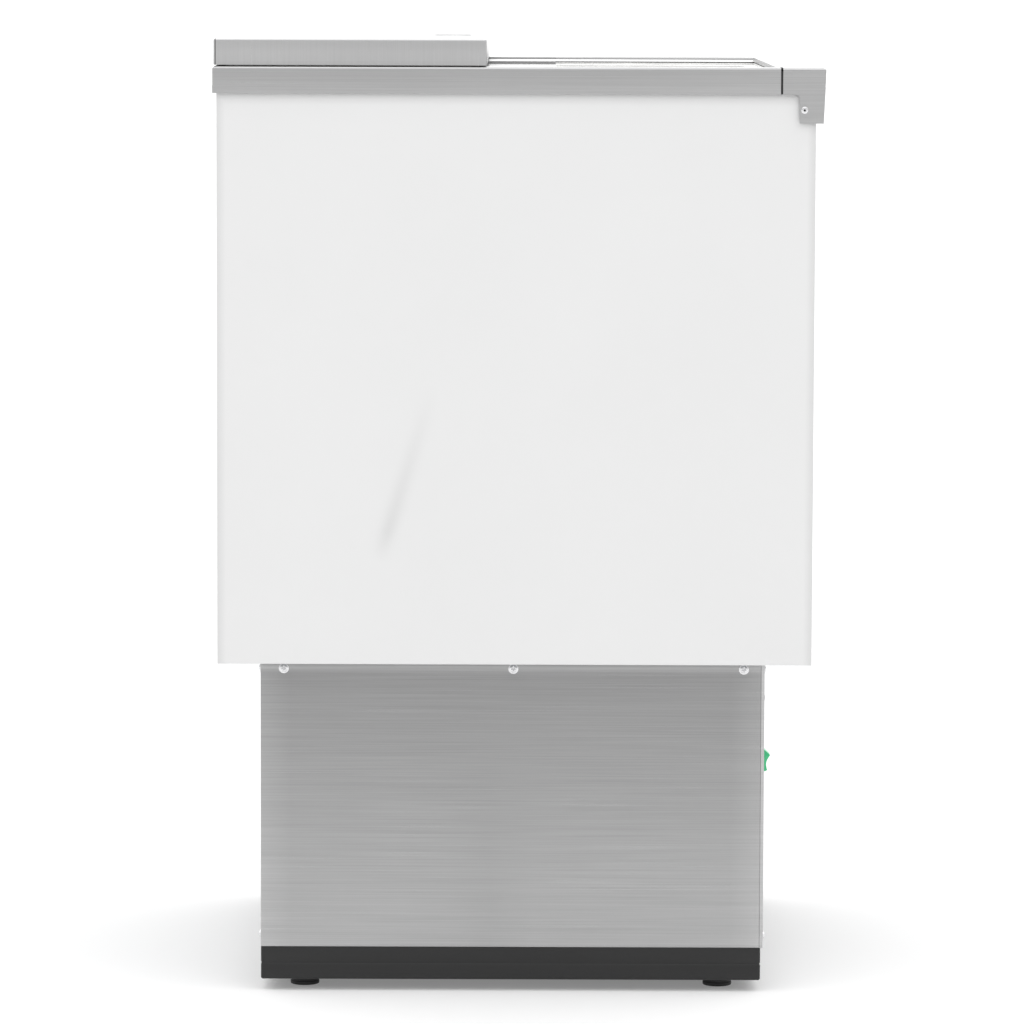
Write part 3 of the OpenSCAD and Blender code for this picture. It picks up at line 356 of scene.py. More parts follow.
def stretched(tree, vector, scale):
    """The vector with each axis multiplied, for a pattern with a direction."""
    made = put(tree, "VectorMath", {0: vector, 1: scale}, operation="MULTIPLY")
    return made.outputs[0]


def relief(tree, shader, height, strength, distance):
    """Bump from a height, fed to the shader's normal."""
    inputs = {"Height": height, "Strength": strength, "Distance": distance}
    made = put(tree, "Bump", inputs)
    tree.links.new(made.outputs[0], shader.inputs["Normal"])


def brushed_steel(name, along, tone=1.0, shade=None, contrast=1.0):
    """Brushed stainless sheet. along gives the grain's axis on faces square to X, Y and Z.

    The streaks are noise drawn out along that axis. shade(tree, place) may return a grey factor.
    """
    made, tree, shader = blank(name)
    coordinates = put(tree, "TexCoord")
    place = coordinates.outputs["Object"]
    size = put(tree, "VectorMath", {0: coordinates.outputs["Normal"]}, operation="ABSOLUTE")
    part = put(tree, "SeparateXYZ", {0: size.outputs[0]})
    coarse, fine = 5.0, 900.0
    scales = [tuple(coarse if axis == grain else fine for axis in "xyz") for grain in along]
    chosen = scales[2]
    for i in (0, 1):
        mask = calc(tree, "GREATER_THAN", part.outputs[i], 0.6)
        inputs = {0: mask, 4: chosen, 5: scales[i]}
        chosen = put(tree, "Mix", inputs, data_type="VECTOR").outputs[1]
    grain_place = stretched(tree, place, chosen)
    streak = noise(tree, grain_place, 1.0, 5.0, 0.65)
    band = noise(tree, stretched(tree, grain_place, (0.06, 0.06, 0.06)), 1.0, 2.0)
    handling = noise(tree, place, 5.0, 3.0)
    mean, deep, faint = 0.98, 0.08 * contrast, 0.015
    factor = shift(tree, streak, mean - deep, mean + deep)
    factor = plus(tree, factor, shift(tree, band, -faint * contrast, faint * contrast))
    factor = plus(tree, factor, shift(tree, handling, -faint, faint))
    factor = times(tree, factor, tone)
    if shade:
        factor = times(tree, factor, shade(tree, place))
    coat(tree, shader, colours().steel, factor, shift(tree, streak, 0.36, 0.27))
    shader.inputs["Metallic"].default_value = 1.0
    relief(tree, shader, streak, 0.10, 0.0003)
    return made


def painted(name, colour, roughness=0.32, mottle=0.015, peel=0.03, shade=None):
    """Baked paint: a slight mottle in the colour and an orange-peel surface."""
    made, tree, shader, place = placed(name)
    cloud = noise(tree, place, 7.0, 3.0)
    factor = shift(tree, cloud, 1 - mottle, 1 + mottle)
    if shade:
        factor = times(tree, factor, shade(tree, place))
    fine = noise(tree, place, 260.0, 2.0)
    coat(tree, shader, colour, factor, shift(tree, fine, roughness - 0.04, roughness + 0.04))
    relief(tree, shader, fine, peel, 0.0004)
    return made


def moulded_plastic(name, colour, roughness=0.45, grain=900.0, depth=0.12, glow=0.0):
    """Moulded plastic with a fine spark-eroded texture."""
    made, tree, shader, place = placed(name)
    cells = noise(tree, place, grain, 3.0, 0.6)
    cloud = noise(tree, place, 30.0, 2.0)
    dull = shift(tree, cells, roughness - 0.06, roughness + 0.06)
    coat(tree, shader, colour, shift(tree, cloud, 0.94, 1.06), dull)
    if glow:
        shader.inputs["Emission Color"].default_value = (*colour, 1.0)
        shader.inputs["Emission Strength"].default_value = glow
    relief(tree, shader, cells, depth, 0.0001)
    return made


def galvanised(name, colour):
    """Zinc-coated sheet: flat crystal patches of slightly different brightness."""
    made, tree, shader, place = placed(name)
    moved = put(tree, "VectorMath", {0: place, 1: (0.004, 0.004, 0.004)}, operation="ADD").outputs[0]
    patch = put(tree, "TexVoronoi", {"Vector": moved, "Scale": 120.0}).outputs["Color"]
    level = put(tree, "SeparateColor", {0: patch}).outputs[0]
    dull = spread(tree, level, 0.0, 1.0, 0.42, 0.52)
    coat(tree, shader, colour, spread(tree, level, 0.0, 1.0, 0.93, 1.04), dull)
    shader.inputs["Metallic"].default_value = 0.85
    relief(tree, shader, noise(tree, place, 400.0, 2.0), 0.05, 0.0003)
    return made


def plated(name, colour, roughness=0.2, wear=0.1):
    """Bright metal with cloudy wear in its polish."""
    made, tree, shader, place = placed(name)
    cloud = noise(tree, place, 120.0, 4.0, 0.6)
    dull = shift(tree, cloud, roughness, roughness + 0.12)
    coat(tree, shader, colour, shift(tree, cloud, 1 - wear, 1.0), dull)
    shader.inputs["Metallic"].default_value = 1.0
    relief(tree, shader, noise(tree, place, 900.0, 2.0), 0.04, 0.0001)
    return made


def cellular_foam(name, colour):
    """Rigid foam: open cells at a cut face, with painted shade in their bottoms."""
    made, tree, shader, place = placed(name)
    cells = put(tree, "TexVoronoi", {"Vector": place, "Scale": 700.0}).outputs["Distance"]
    # Painted shade: the cells' bottoms are made darker.
    coat(tree, shader, colour, spread(tree, cells, 0.0, 0.6, 0.8, 1.05), 0.9)
    relief(tree, shader, cells, 0.5, 0.0006)
    return made


def rubber(name, colour):
    """Matt rubber with pale dust in its low places."""
    made, tree, shader, place = placed(name)
    dust = noise(tree, place, 60.0, 4.0)
    coat(tree, shader, colour, spread(tree, dust, 0.4, 0.8, 1.0, 1.7), shift(tree, dust, 0.7, 0.85))
    relief(tree, shader, noise(tree, place, 800.0, 2.0), 0.12, 0.0002)
    return made


FINISHES = {}


def finish(name):
    """The finish of that name, made once."""
    if name not in FINISHES:
        maker, *values = makers()[name]
        FINISHES[name] = maker(name, *values)
    return FINISHES[name]


def apart(tree, value, other):
    """Distance between a socket's value and a number."""
    return size_of(tree, less(tree, value, float(other)))


def base_panel_painted_light(tree, place):
    """Base side panels: painted shade under the overhang that clears towards the floor, a painted reflection
    of the cabinet's hem just below the top, painted highlights towards the front and rear edges and a faint
    dark painted reflection streak near the middle.
    """
    low, high = corners("base_left_panel")
    part = put(tree, "SeparateXYZ", {0: place})
    height, depth = part.outputs[2], part.outputs[1]
    # Painted shade: darker under the overhang and lighter towards the floor, standing in for the floor's
    # reflection and the shade under the cabinet.
    rise = spread(tree, height, low[2], high[2] - 12 * MM, 1.06, 0.72)
    # Painted reflection of the cabinet's white hem, just below the panel's top.
    lip = spread(tree, height, high[2] - 10 * MM, high[2] - 4 * MM, 0.0, 0.22)
    half = float((high[1] - low[1]) / 2)
    # Painted highlight towards the front and rear edges.
    rim = spread(tree, apart(tree, depth, (low[1] + high[1]) / 2), half * 0.88, half, 0.0, 0.12)
    # Painted reflection: a faint dark vertical streak near the middle, fading out towards the top.
    streak_y = spread(tree, apart(tree, depth, 28 * MM), 0.0, 45 * MM, 1.0, 0.0)
    streak = times(tree, streak_y, spread(tree, height, low[2], high[2] - 50 * MM, -0.05, 0.0))
    return plus(tree, plus(tree, rise, lip), plus(tree, rim, streak))


def fold_painted_highlight(tree, place):
    """Rails: painted highlight on the fold inside the mouth, which is made brighter than the rest of the rail.
    """
    inner = corners("top_frame")[1][0] - 29 * MM
    part = put(tree, "SeparateXYZ", {0: place})
    inside = calc(tree, "LESS_THAN", size_of(tree, part.outputs[0]), float(inner))
    # Painted highlight: the faces inside the mouth are made brighter.
    return spread(tree, inside, 0.0, 1.0, 1.0, 1.85)


def side_painted_shade(tree, place):
    """White sides: painted shade close to their edges, under the rail and along the shallow crease."""
    s = sizes()
    low, high = corners("left_side_panel")
    part = put(tree, "SeparateXYZ", {0: place})
    depth, height = part.outputs[1], part.outputs[2]
    half = float((high[1] - low[1]) / 2)
    # Painted shade close to the front and rear edges.
    rim = spread(tree, apart(tree, depth, (low[1] + high[1]) / 2), half - 9 * MM, half, 0.0, 0.14)
    # Painted shade under the rail's overhang.
    top = spread(tree, height, high[2] - 38 * MM, high[2] - 24 * MM, 0.0, 0.15)
    y0, z0, y1, z1 = *s.dent_start, *s.dent_stop
    length_of = math.hypot(y1 - y0, z1 - z0)
    run_y, run_z = (y1 - y0) / length_of, (z1 - z0) / length_of
    off_y, off_z = less(tree, depth, y0), less(tree, height, z0)
    along = plus(tree, times(tree, off_y, run_y), times(tree, off_z, run_z))
    across = less(tree, times(tree, off_y, run_z), times(tree, off_z, run_y))
    swell = spread(tree, along, 0.0, length_of * 0.8, 0.0, 1.0)
    swell = times(tree, swell, spread(tree, along, length_of * 0.85, length_of * 1.02, 1.0, 0.0))
    narrow = calc(tree, "DIVIDE", across, 8 * MM)
    bell = calc(tree, "EXPONENT", times(tree, times(tree, narrow, narrow), -1.0))
    left = calc(tree, "LESS_THAN", part.outputs[0], 0.0)
    # Painted shade along the shallow crease of the left panel.
    crease_painted_shade = times(tree, times(tree, bell, swell), times(tree, left, s.dent_shade))
    total = plus(tree, calc(tree, "MAXIMUM", rim, top), crease_painted_shade)
    return less(tree, 1.0, total)


def lid_painted_shade_and_seam(tree, place):
    """Lid skirt: painted shade that darkens it towards its hem and lightens it near the top, with a thin dark
    line at the open rear corner joint.
    """
    low, high = corners("lid_shell")
    part = put(tree, "SeparateXYZ", {0: place})
    joint = apart(tree, part.outputs[1], high[1] - 2.1 * MM)
    side = calc(tree, "GREATER_THAN", size_of(tree, part.outputs[0]), float(high[0] - 1.2 * MM))
    line = times(tree, spread(tree, joint, 0.3 * MM, 0.7 * MM, 0.75, 0.0), side)
    # Painted shade: darker towards the hem, lighter near the top bend.
    fade = spread(tree, part.outputs[2], low[2], high[2] - 2 * MM, 0.78, 1.12)
    return times(tree, fade, less(tree, 1.0, line))


def makers():
    """Each finish's maker, and what it takes after the name."""
    c = colours()
    return {
        "cabinet_white": (painted, c.enamel, 0.38, 0.006, 0.02),
        "side_white": (painted, c.enamel, 0.38, 0.006, 0.02, side_painted_shade),
        "brushed_stainless": (brushed_steel, "yxx", 0.95),
        "frame_steel_side": (brushed_steel, "yyy", 0.97, fold_painted_highlight),
        "frame_steel_rear": (brushed_steel, "yxx", 1.0),
        "lid_steel": (brushed_steel, "zxx", 1.0, lid_painted_shade_and_seam, 0.4),
        "base_panel_steel": (brushed_steel, "yxx", 0.80, base_panel_painted_light),
        "grille_steel": (brushed_steel, "yxx", 1.0),
        "liner_white": (moulded_plastic, c.liner, 0.3, 500.0, 0.03),
        "foam": (cellular_foam, c.foam),
        "galvanised": (galvanised, c.zinc_sheet),
        "black_paint": (painted, c.black, 0.42, 0.08, 0.05),
        "dark_paint": (painted, (0.02, 0.02, 0.022), 0.3, 0.1, 0.04),
        "black_rubber": (rubber, (0.025, 0.025, 0.026)),
        "black_plastic": (moulded_plastic, (0.022, 0.022, 0.023), 0.5),
        "copper": (plated, (0.72, 0.36, 0.22), 0.25, 0.3),
        "zinc": (plated, (0.78, 0.78, 0.79), 0.22, 0.08),
        "glide_plastic": (moulded_plastic, (0.8, 0.8, 0.8), 0.4),
        "rack_wire": (plated, (0.7, 0.7, 0.71), 0.18, 0.1),
        "drain_plastic": (moulded_plastic, (0.6, 0.6, 0.6), 0.4),
        "fin_aluminium": (plated, (0.75, 0.76, 0.78), 0.35, 0.1),
        "rocker_green": (moulded_plastic, c.rocker, 0.22, 900.0, 0.04, 0.25),
        "display_red": (moulded_plastic, (0.05, 0.004, 0.004), 0.12, 200.0, 0.01),
        "key_grey": (moulded_plastic, (0.35, 0.35, 0.36), 0.5),
    }


def dress(piece, material, body, slot, *nodes):
    """Gives a new piece its finish and its body, and hides the frame nodes that it stands for; slot is not
    used.
    """
    piece.data.materials.clear()
    piece.data.materials.append(finish(material))
    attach(piece, body)
    if nodes:
        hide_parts(*nodes)
    return piece


def face_centres(piece):
    """Centre of each face of a piece, one row for each."""
    spots = np.zeros(len(piece.data.polygons) * 3)
    piece.data.polygons.foreach_get("center", spots)
    return spots.reshape(-1, 3)


def finish_faces(piece, chosen, material):
    """Gives the chosen faces of a dressed piece a second finish."""
    piece.data.materials.append(finish(material))
    piece.data.polygons.foreach_set("material_index", chosen.astype(np.int32))


def keep(node, material):
    """Gives a frame node that keeps its shape a better finish."""
    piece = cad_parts[node]
    piece.data.materials.clear()
    piece.data.materials.append(finish(material))


# ---- cabinet ----


def slab_stack(u, v, face, back, edge):
    """Thin panel as closed cross-sections stacked along v: a face dense in u, then its flat back.

    u and v are the panel's own coordinates, face(u, v) is how far the face stands out from its
    plane, back is the sheet's depth, and the face falls away by edge along a quarter circle at
    all four sides. Returns u, v and the outward distance on one grid.
    """
    grid_u, grid_v = np.meshgrid(u, v)
    inset = np.minimum(np.minimum(grid_u - u[0], u[-1] - grid_u), np.minimum(grid_v - v[0], v[-1] - grid_v))
    front = face(grid_u, grid_v) - edge_fall(inset, edge)
    out = np.concatenate([front, np.full_like(front, -back)], 1)
    return np.concatenate([grid_u, grid_u[:, ::-1]], 1), np.concatenate([grid_v, grid_v], 1), out


def edge_fall(distance, edge):
    """Drop of a rounded edge at a distance from it: a quarter circle of radius edge."""
    near = np.clip(distance / edge, 0.0, 1.0)
    return edge * (1 - np.sqrt(np.maximum(0.0, 1 - (1 - near) ** 2)))


def edge_stations(low, high, edge, count):
    """Places from low to high, crowded where the edge is rounded."""
    near = edge * (1 - np.cos(np.linspace(0, QUARTER, 5)))
    inner = np.linspace(low + edge, high - edge, count)[1:-1]
    return np.concatenate([low + near, inner, (high - near)[::-1]])


def crown(u, v, u_range, v_range, height):
    """Gentle bulge of a foam-backed sheet: a product of two half sine waves."""
    a = np.sin(math.pi * (u - u_range[0]) / (u_range[1] - u_range[0]))
    b = np.sin(math.pi * (v - v_range[0]) / (v_range[1] - v_range[0]))
    return height * a * b


def crease(u, v, start, stop, width, depth):
    """Shallow dent along a line: a Gaussian valley whose depth swells and dies along its length."""
    run = np.array(stop) - np.array(start)
    reach = np.hypot(*run)
    along = ((u - start[0]) * run[0] + (v - start[1]) * run[1]) / reach**2
    across = ((u - start[0]) * run[1] - (v - start[1]) * run[0]) / reach
    swell = np.clip(along, 0, 1) * np.clip(1 - along, 0, 1) ** 0.5 * 2.6
    return -depth * swell * np.exp(-((across / width) ** 2))


def panel_skin(node, axis, counts, bulge, back=None, angle=40):
    """Skin of a panel square to an axis, on the outer side of its node.

    counts are its stations across and up, and bulge(u, v, *spans) is how far it stands out.
    """
    low, high = corners(node)
    across = 1 - axis
    spans = ((low[across], high[across]), (low[2], high[2]))
    edge = sizes().sheet_edge
    u, v = (edge_stations(*span, edge, count) for span, count in zip(spans, counts))
    if back is None:
        back = high[axis] - low[axis] - TRIM
    u, v, out = slab_stack(u, v, lambda a, b: bulge(a, b, *spans), back, edge)
    sign = 1 if low[axis] + high[axis] > 0 else -1
    face = sign * (max(abs(low[axis]), abs(high[axis])) + out)
    stack = np.stack([face, u, v] if axis == 0 else [u, face, v], -1)
    return skin_mesh(node.replace("panel", "skin"), [tube_part(stack)], angle)


class FREEZER_OT_cabinet(bpy.types.Operator):
    """Make the enamelled side and front panels and the plain rear panel"""

    bl_idname = "freezer.cabinet"
    bl_label = "Cabinet panels"

    def execute(self, context):
        s = sizes()

        def plain(a, b, *spans):
            return crown(a, b, *spans, s.crown)

        def dented(a, b, *spans):
            return plain(a, b, *spans) + crease(a, b, s.dent_start, s.dent_stop, s.dent_width, s.dent_depth)

        for node, bulge in (("left_side_panel", dented), ("right_side_panel", plain)):
            piece = panel_skin(node, 0, (130, 130), bulge)
            dress(piece, "side_white", "cabinet", "cabinet_white", node)
        for node, material in (("front_panel", "cabinet_white"), ("rear_panel", "galvanised")):
            dress(panel_skin(node, 1, (60, 60), plain), material, "cabinet", material, node)
        keep("cabinet_bottom", "galvanised")
        keep("insulation", "foam")
        return {"FINISHED"}


# ---- top frame ----


def folded_rail(low, high, width, fold, lean, bend_r, sheet):
    """Closed end view of the rail: skirt, bend, flat top, bend, short fold, and the same inside.

    Points are (inward distance from the outer face, height).
    """
    top, foot, small = high, low, 1.2 * MM
    outer = [(-a, b) for a, b in bend(-bend_r, top - bend_r, bend_r, 0, 90, 6)]
    crest = width - small - lean
    lip = [(-a, b) for a, b in bend(-crest, top - small, small, 90, 180, 4)]
    inner_lip = [(width - sheet - lean, top - small), (crest, top - sheet)]
    inside = [(-a, b) for a, b in bend(-bend_r, top - bend_r, bend_r - sheet, 90, 0, 6)]
    return np.array(
        [(0.0, foot)] + outer + lip + [(width, top - fold), (width - sheet, top - fold)]
        + inner_lip + inside + [(sheet, foot)]
    )


class FREEZER_OT_top_frame(bpy.types.Operator):
    """Make the folded side and rear rails, and finish the front rail and its rivets"""

    bl_idname = "freezer.top_frame"
    bl_label = "Top frame"

    def execute(self, context):
        s = sizes()
        low, high = corners("top_frame")
        sheet = 1.0 * MM
        deck_high = corners("rear_deck")[1]
        width = high[1] - (deck_high[1] - 2 * MM)
        profile = folded_rail(low[2], high[2], width, s.mouth_fold, s.fold_lean, s.frame_bend, sheet)
        soft = 0.5 * MM
        stations = [
            ((low[0] + soft, low[1]), (1, 0)),
            ((low[0], low[1] + soft), (1, 0)),
            ((low[0], high[1]), (1, -1)),
            ((high[0], high[1]), (-1, -1)),
            ((high[0], low[1] + soft), (-1, 0)),
            ((high[0] - soft, low[1]), (-1, 0)),
        ]
        rows = []
        for (x, y), (inward_x, inward_y) in stations:
            inward, z = profile[:, 0].copy(), profile[:, 1].copy()
            if y == low[1]:
                inward = np.clip(inward, 0.0, width - 2 * soft)
                z = np.minimum(z, high[2] - soft)
            rows.append(np.stack([x + inward * inward_x, y + inward * inward_y, z], -1))
        piece = skin_mesh("frame_rails", [tube_part(np.array(rows))], 50)
        dress(piece, "frame_steel_side", "cabinet", "brushed_stainless", "top_frame")
        centres = face_centres(piece)
        rear = (high[1] - centres[:, 1]) < (high[0] - np.abs(centres[:, 0])) - 1e-5
        finish_faces(piece, rear, "frame_steel_rear")
        keep("front_rail", "brushed_stainless")
        self.shade_and_seam_beads()
        keep("rear_deck", "brushed_stainless")
        keep("deck_foam", "foam")
        keep("deck_liner", "liner_white")
        self.rivets()
        return {"FINISHED"}

    def shade_and_seam_beads(self):
        """Dark beads: behind the mouth's fold they are painted shade for the shadow gap under it, and behind
        the seams of the front rail they darken the joints.
        """
        low, high = corners("breaker_frame")
        fold = corners("top_frame")[1][2] - sizes().mouth_fold
        inner, outer = high[0] - 0.95 * MM, high[0] - 0.1 * MM
        z0, z1 = fold - 0.95 * MM, fold + 3 * MM
        y0, y1 = low[1] + 2.1 * MM, high[1] - 3 * MM
        front = low[1] + 0.1 * MM
        # Beads behind the mouth's fold: painted shade in the gap under the fold.
        boxes = [((-outer, y0, z0), (-inner, y1, z1)), ((inner, y0, z0), (outer, y1, z1)),
                 ((-outer, front, z0), (outer, front + 0.8 * MM, z1))]
        rail_low, rail_high = corners("top_frame")
        end, top, behind = rail_low[1], rail_high[2], rail_high[0] - 1.3 * MM
        seam = (end - 4 * MM, end + 2 * MM)
        beads = [
            (behind, 3.2 * MM, seam, (rail_low[2] + 0.5 * MM, top - 1.4 * MM)),
            (behind, 26.0 * MM, seam, (top - 3.6 * MM, top - 1.5 * MM)),
            (rail_high[0] - 0.6 * MM, 29 * MM, (end - 1.9 * MM, end - 0.1 * MM),
             (top - 1.6 * MM, top - 0.5 * MM)),
        ]
        for sign in (-1, 1):
            for start, reach, y, z in beads:
                x = sorted((sign * start, sign * (start - reach)))
                boxes.append(tuple(zip(x, y, z)))
        parts = [round_box_part(*box, 0.1 * MM, 1) for box in boxes]
        piece = skin_mesh("mouth_shade_and_seam_beads", parts)
        dress(piece, "black_rubber", "cabinet", "black_rubber")

    def rivets(self):
        """Domed blind rivets: a flat-topped dome, a deep bore and the broken mandrel inside it."""
        low, high = corners("front_rail_rivets")
        face = corners("front_rail")[1][0]
        profile = [(0.0, -2.0), (1.5, -2.0), (1.6, -0.2), (3.75, -0.2), (3.8, 0.15), (3.55, 0.7),
                   (2.9, 1.05), (2.0, 1.2), (1.15, 1.15), (1.08, 0.95), (1.05, 0.1), (1.05, -1.6), (0.0, -1.6)]
        shank = [(0.0, -7.0), (2.2, -7.0), (2.4, -5.0), (1.6, -4.4), (1.5, -2.0), (0.0, -2.0)]
        parts = []
        for sign in (-1, 1):
            place = (sign * face, (low[1] + high[1]) / 2, (low[2] + high[2]) / 2)
            turn = facing((sign, 0, 0), place)
            for shape in (profile, shank):
                parts.append(turned(lathe_part(np.array(shape) * MM, 36), turn))
        piece = skin_mesh("blind_rivets", parts, 35)
        dress(piece, "zinc", "cabinet", "zinc", "front_rail_rivets")
        centre = (low + high) / 2
        spots = face_centres(piece)
        # The bore's walls and the mandrel's end take the dark finish: painted shade in the hole.
        bore = np.hypot(spots[:, 1] - centre[1], spots[:, 2] - centre[2]) < 1.06 * MM
        bore &= np.abs(spots[:, 0]) > face - 2 * MM
        finish_faces(piece, bore, "dark_paint")


# ---- lid ----


class FREEZER_OT_lid(bpy.types.Operator):
    """Make the lid's skin, its recessed pull and its seal"""

    bl_idname = "freezer.lid"
    bl_label = "Sliding lid"

    def execute(self, context):
        self.skin()
        self.pull()
        self.seal()
        keep("lid_foam", "foam")
        keep("lid_liner", "brushed_stainless")
        keep("lid_glides", "glide_plastic")
        return {"FINISHED"}

    def skin(self):
        """One drawn sheet: from the recess's edge over the flat top, round the bends and down the skirt."""
        s = sizes()
        low, high = corners("lid_shell")
        pull_low, pull_high = corners("lid_pull")
        hole_low, hole_high = pull_low + 9 * MM, pull_high - 9 * MM
        sheet, edge, round_r = 1.0 * MM, s.lid_bend, s.lid_corner
        top, foot = high[2], low[2]
        rolled = [(0.0, top - sheet), (0.4 * MM, top - 0.55 * MM), (1.2 * MM, top - 0.2 * MM),
                  (2.2 * MM, top - 0.05 * MM), (3.2 * MM, top)]
        hole = moulded(hole_low, hole_high, 8 * MM, rolled)
        outer = bend(-edge, top - edge, edge, 90, 0, 6)
        hem = bend(-0.5 * MM, foot + 0.5 * MM, 0.5 * MM, 0, -180, 6)
        inner = bend(-edge, top - edge, edge - sheet, 0, 90, 6)
        skirt = moulded(low, high, round_r, outer + hem + inner)
        stack = np.concatenate([hole, skirt])
        piece = skin_mesh("lid_skin", [ring_part(stack)], 35)
        dress(piece, "lid_steel", "lid", "brushed_stainless", "lid_shell")

    def pull(self):
        """Pressed cup: a flange under the skin, a rounded rim, steep walls and a filleted floor."""
        low, high = corners("lid_pull")
        flange, corner = 9 * MM, 8 * MM
        inner_low, inner_high = low + flange, high - flange
        top, floor, sheet, fillet = high[2], low[2] + 1 * MM, 1 * MM, 5 * MM
        draft, knee = 3.6 * MM, top - 4.5 * MM
        inside = [(flange, top), (0.3 * MM, top), (-0.6 * MM, top - 0.5 * MM), (-2.2 * MM, top - 2.2 * MM)]
        inside += [(-draft, knee)] + bend(-draft - fillet, floor + fillet, fillet, 0, -90, 6)
        outside = bend(-draft - fillet, floor + fillet, fillet + sheet, -90, 0, 6)
        outside += [(sheet - draft, knee), (0.0, top - 1.6 * MM), (2 * MM, top - sheet)]
        outside += [(flange, top - sheet)]
        cup = shell_part(moulded(inner_low, inner_high, corner, inside),
                         moulded(inner_low, inner_high, corner, outside))
        piece = skin_mesh("lid_pull_cup", [cup], 35)
        dress(piece, "grille_steel", "lid", "brushed_stainless", "lid_pull")

    def seal(self):
        """Wiping seal: a flat foot with two rounded ribs, carried round the plug."""
        low, high = corners("lid_gasket")
        width, foot, top = 8 * MM, low[2], high[2]
        t = np.linspace(0, 1, 17)
        rib = (np.cos(2 * TURN * t) - 1) / 2
        under = [(-width * a, foot + (top - foot) * 0.55 * -b) for a, b in zip(t, rib)]
        profile = [(0.0, top)] + under + [(-width, top)]
        piece = skin_mesh("lid_seal", [ring_part(moulded(low, high, 3 * MM, profile))], 50)
        dress(piece, "black_rubber", "lid", "black_rubber", "lid_gasket")


# ---- well ----


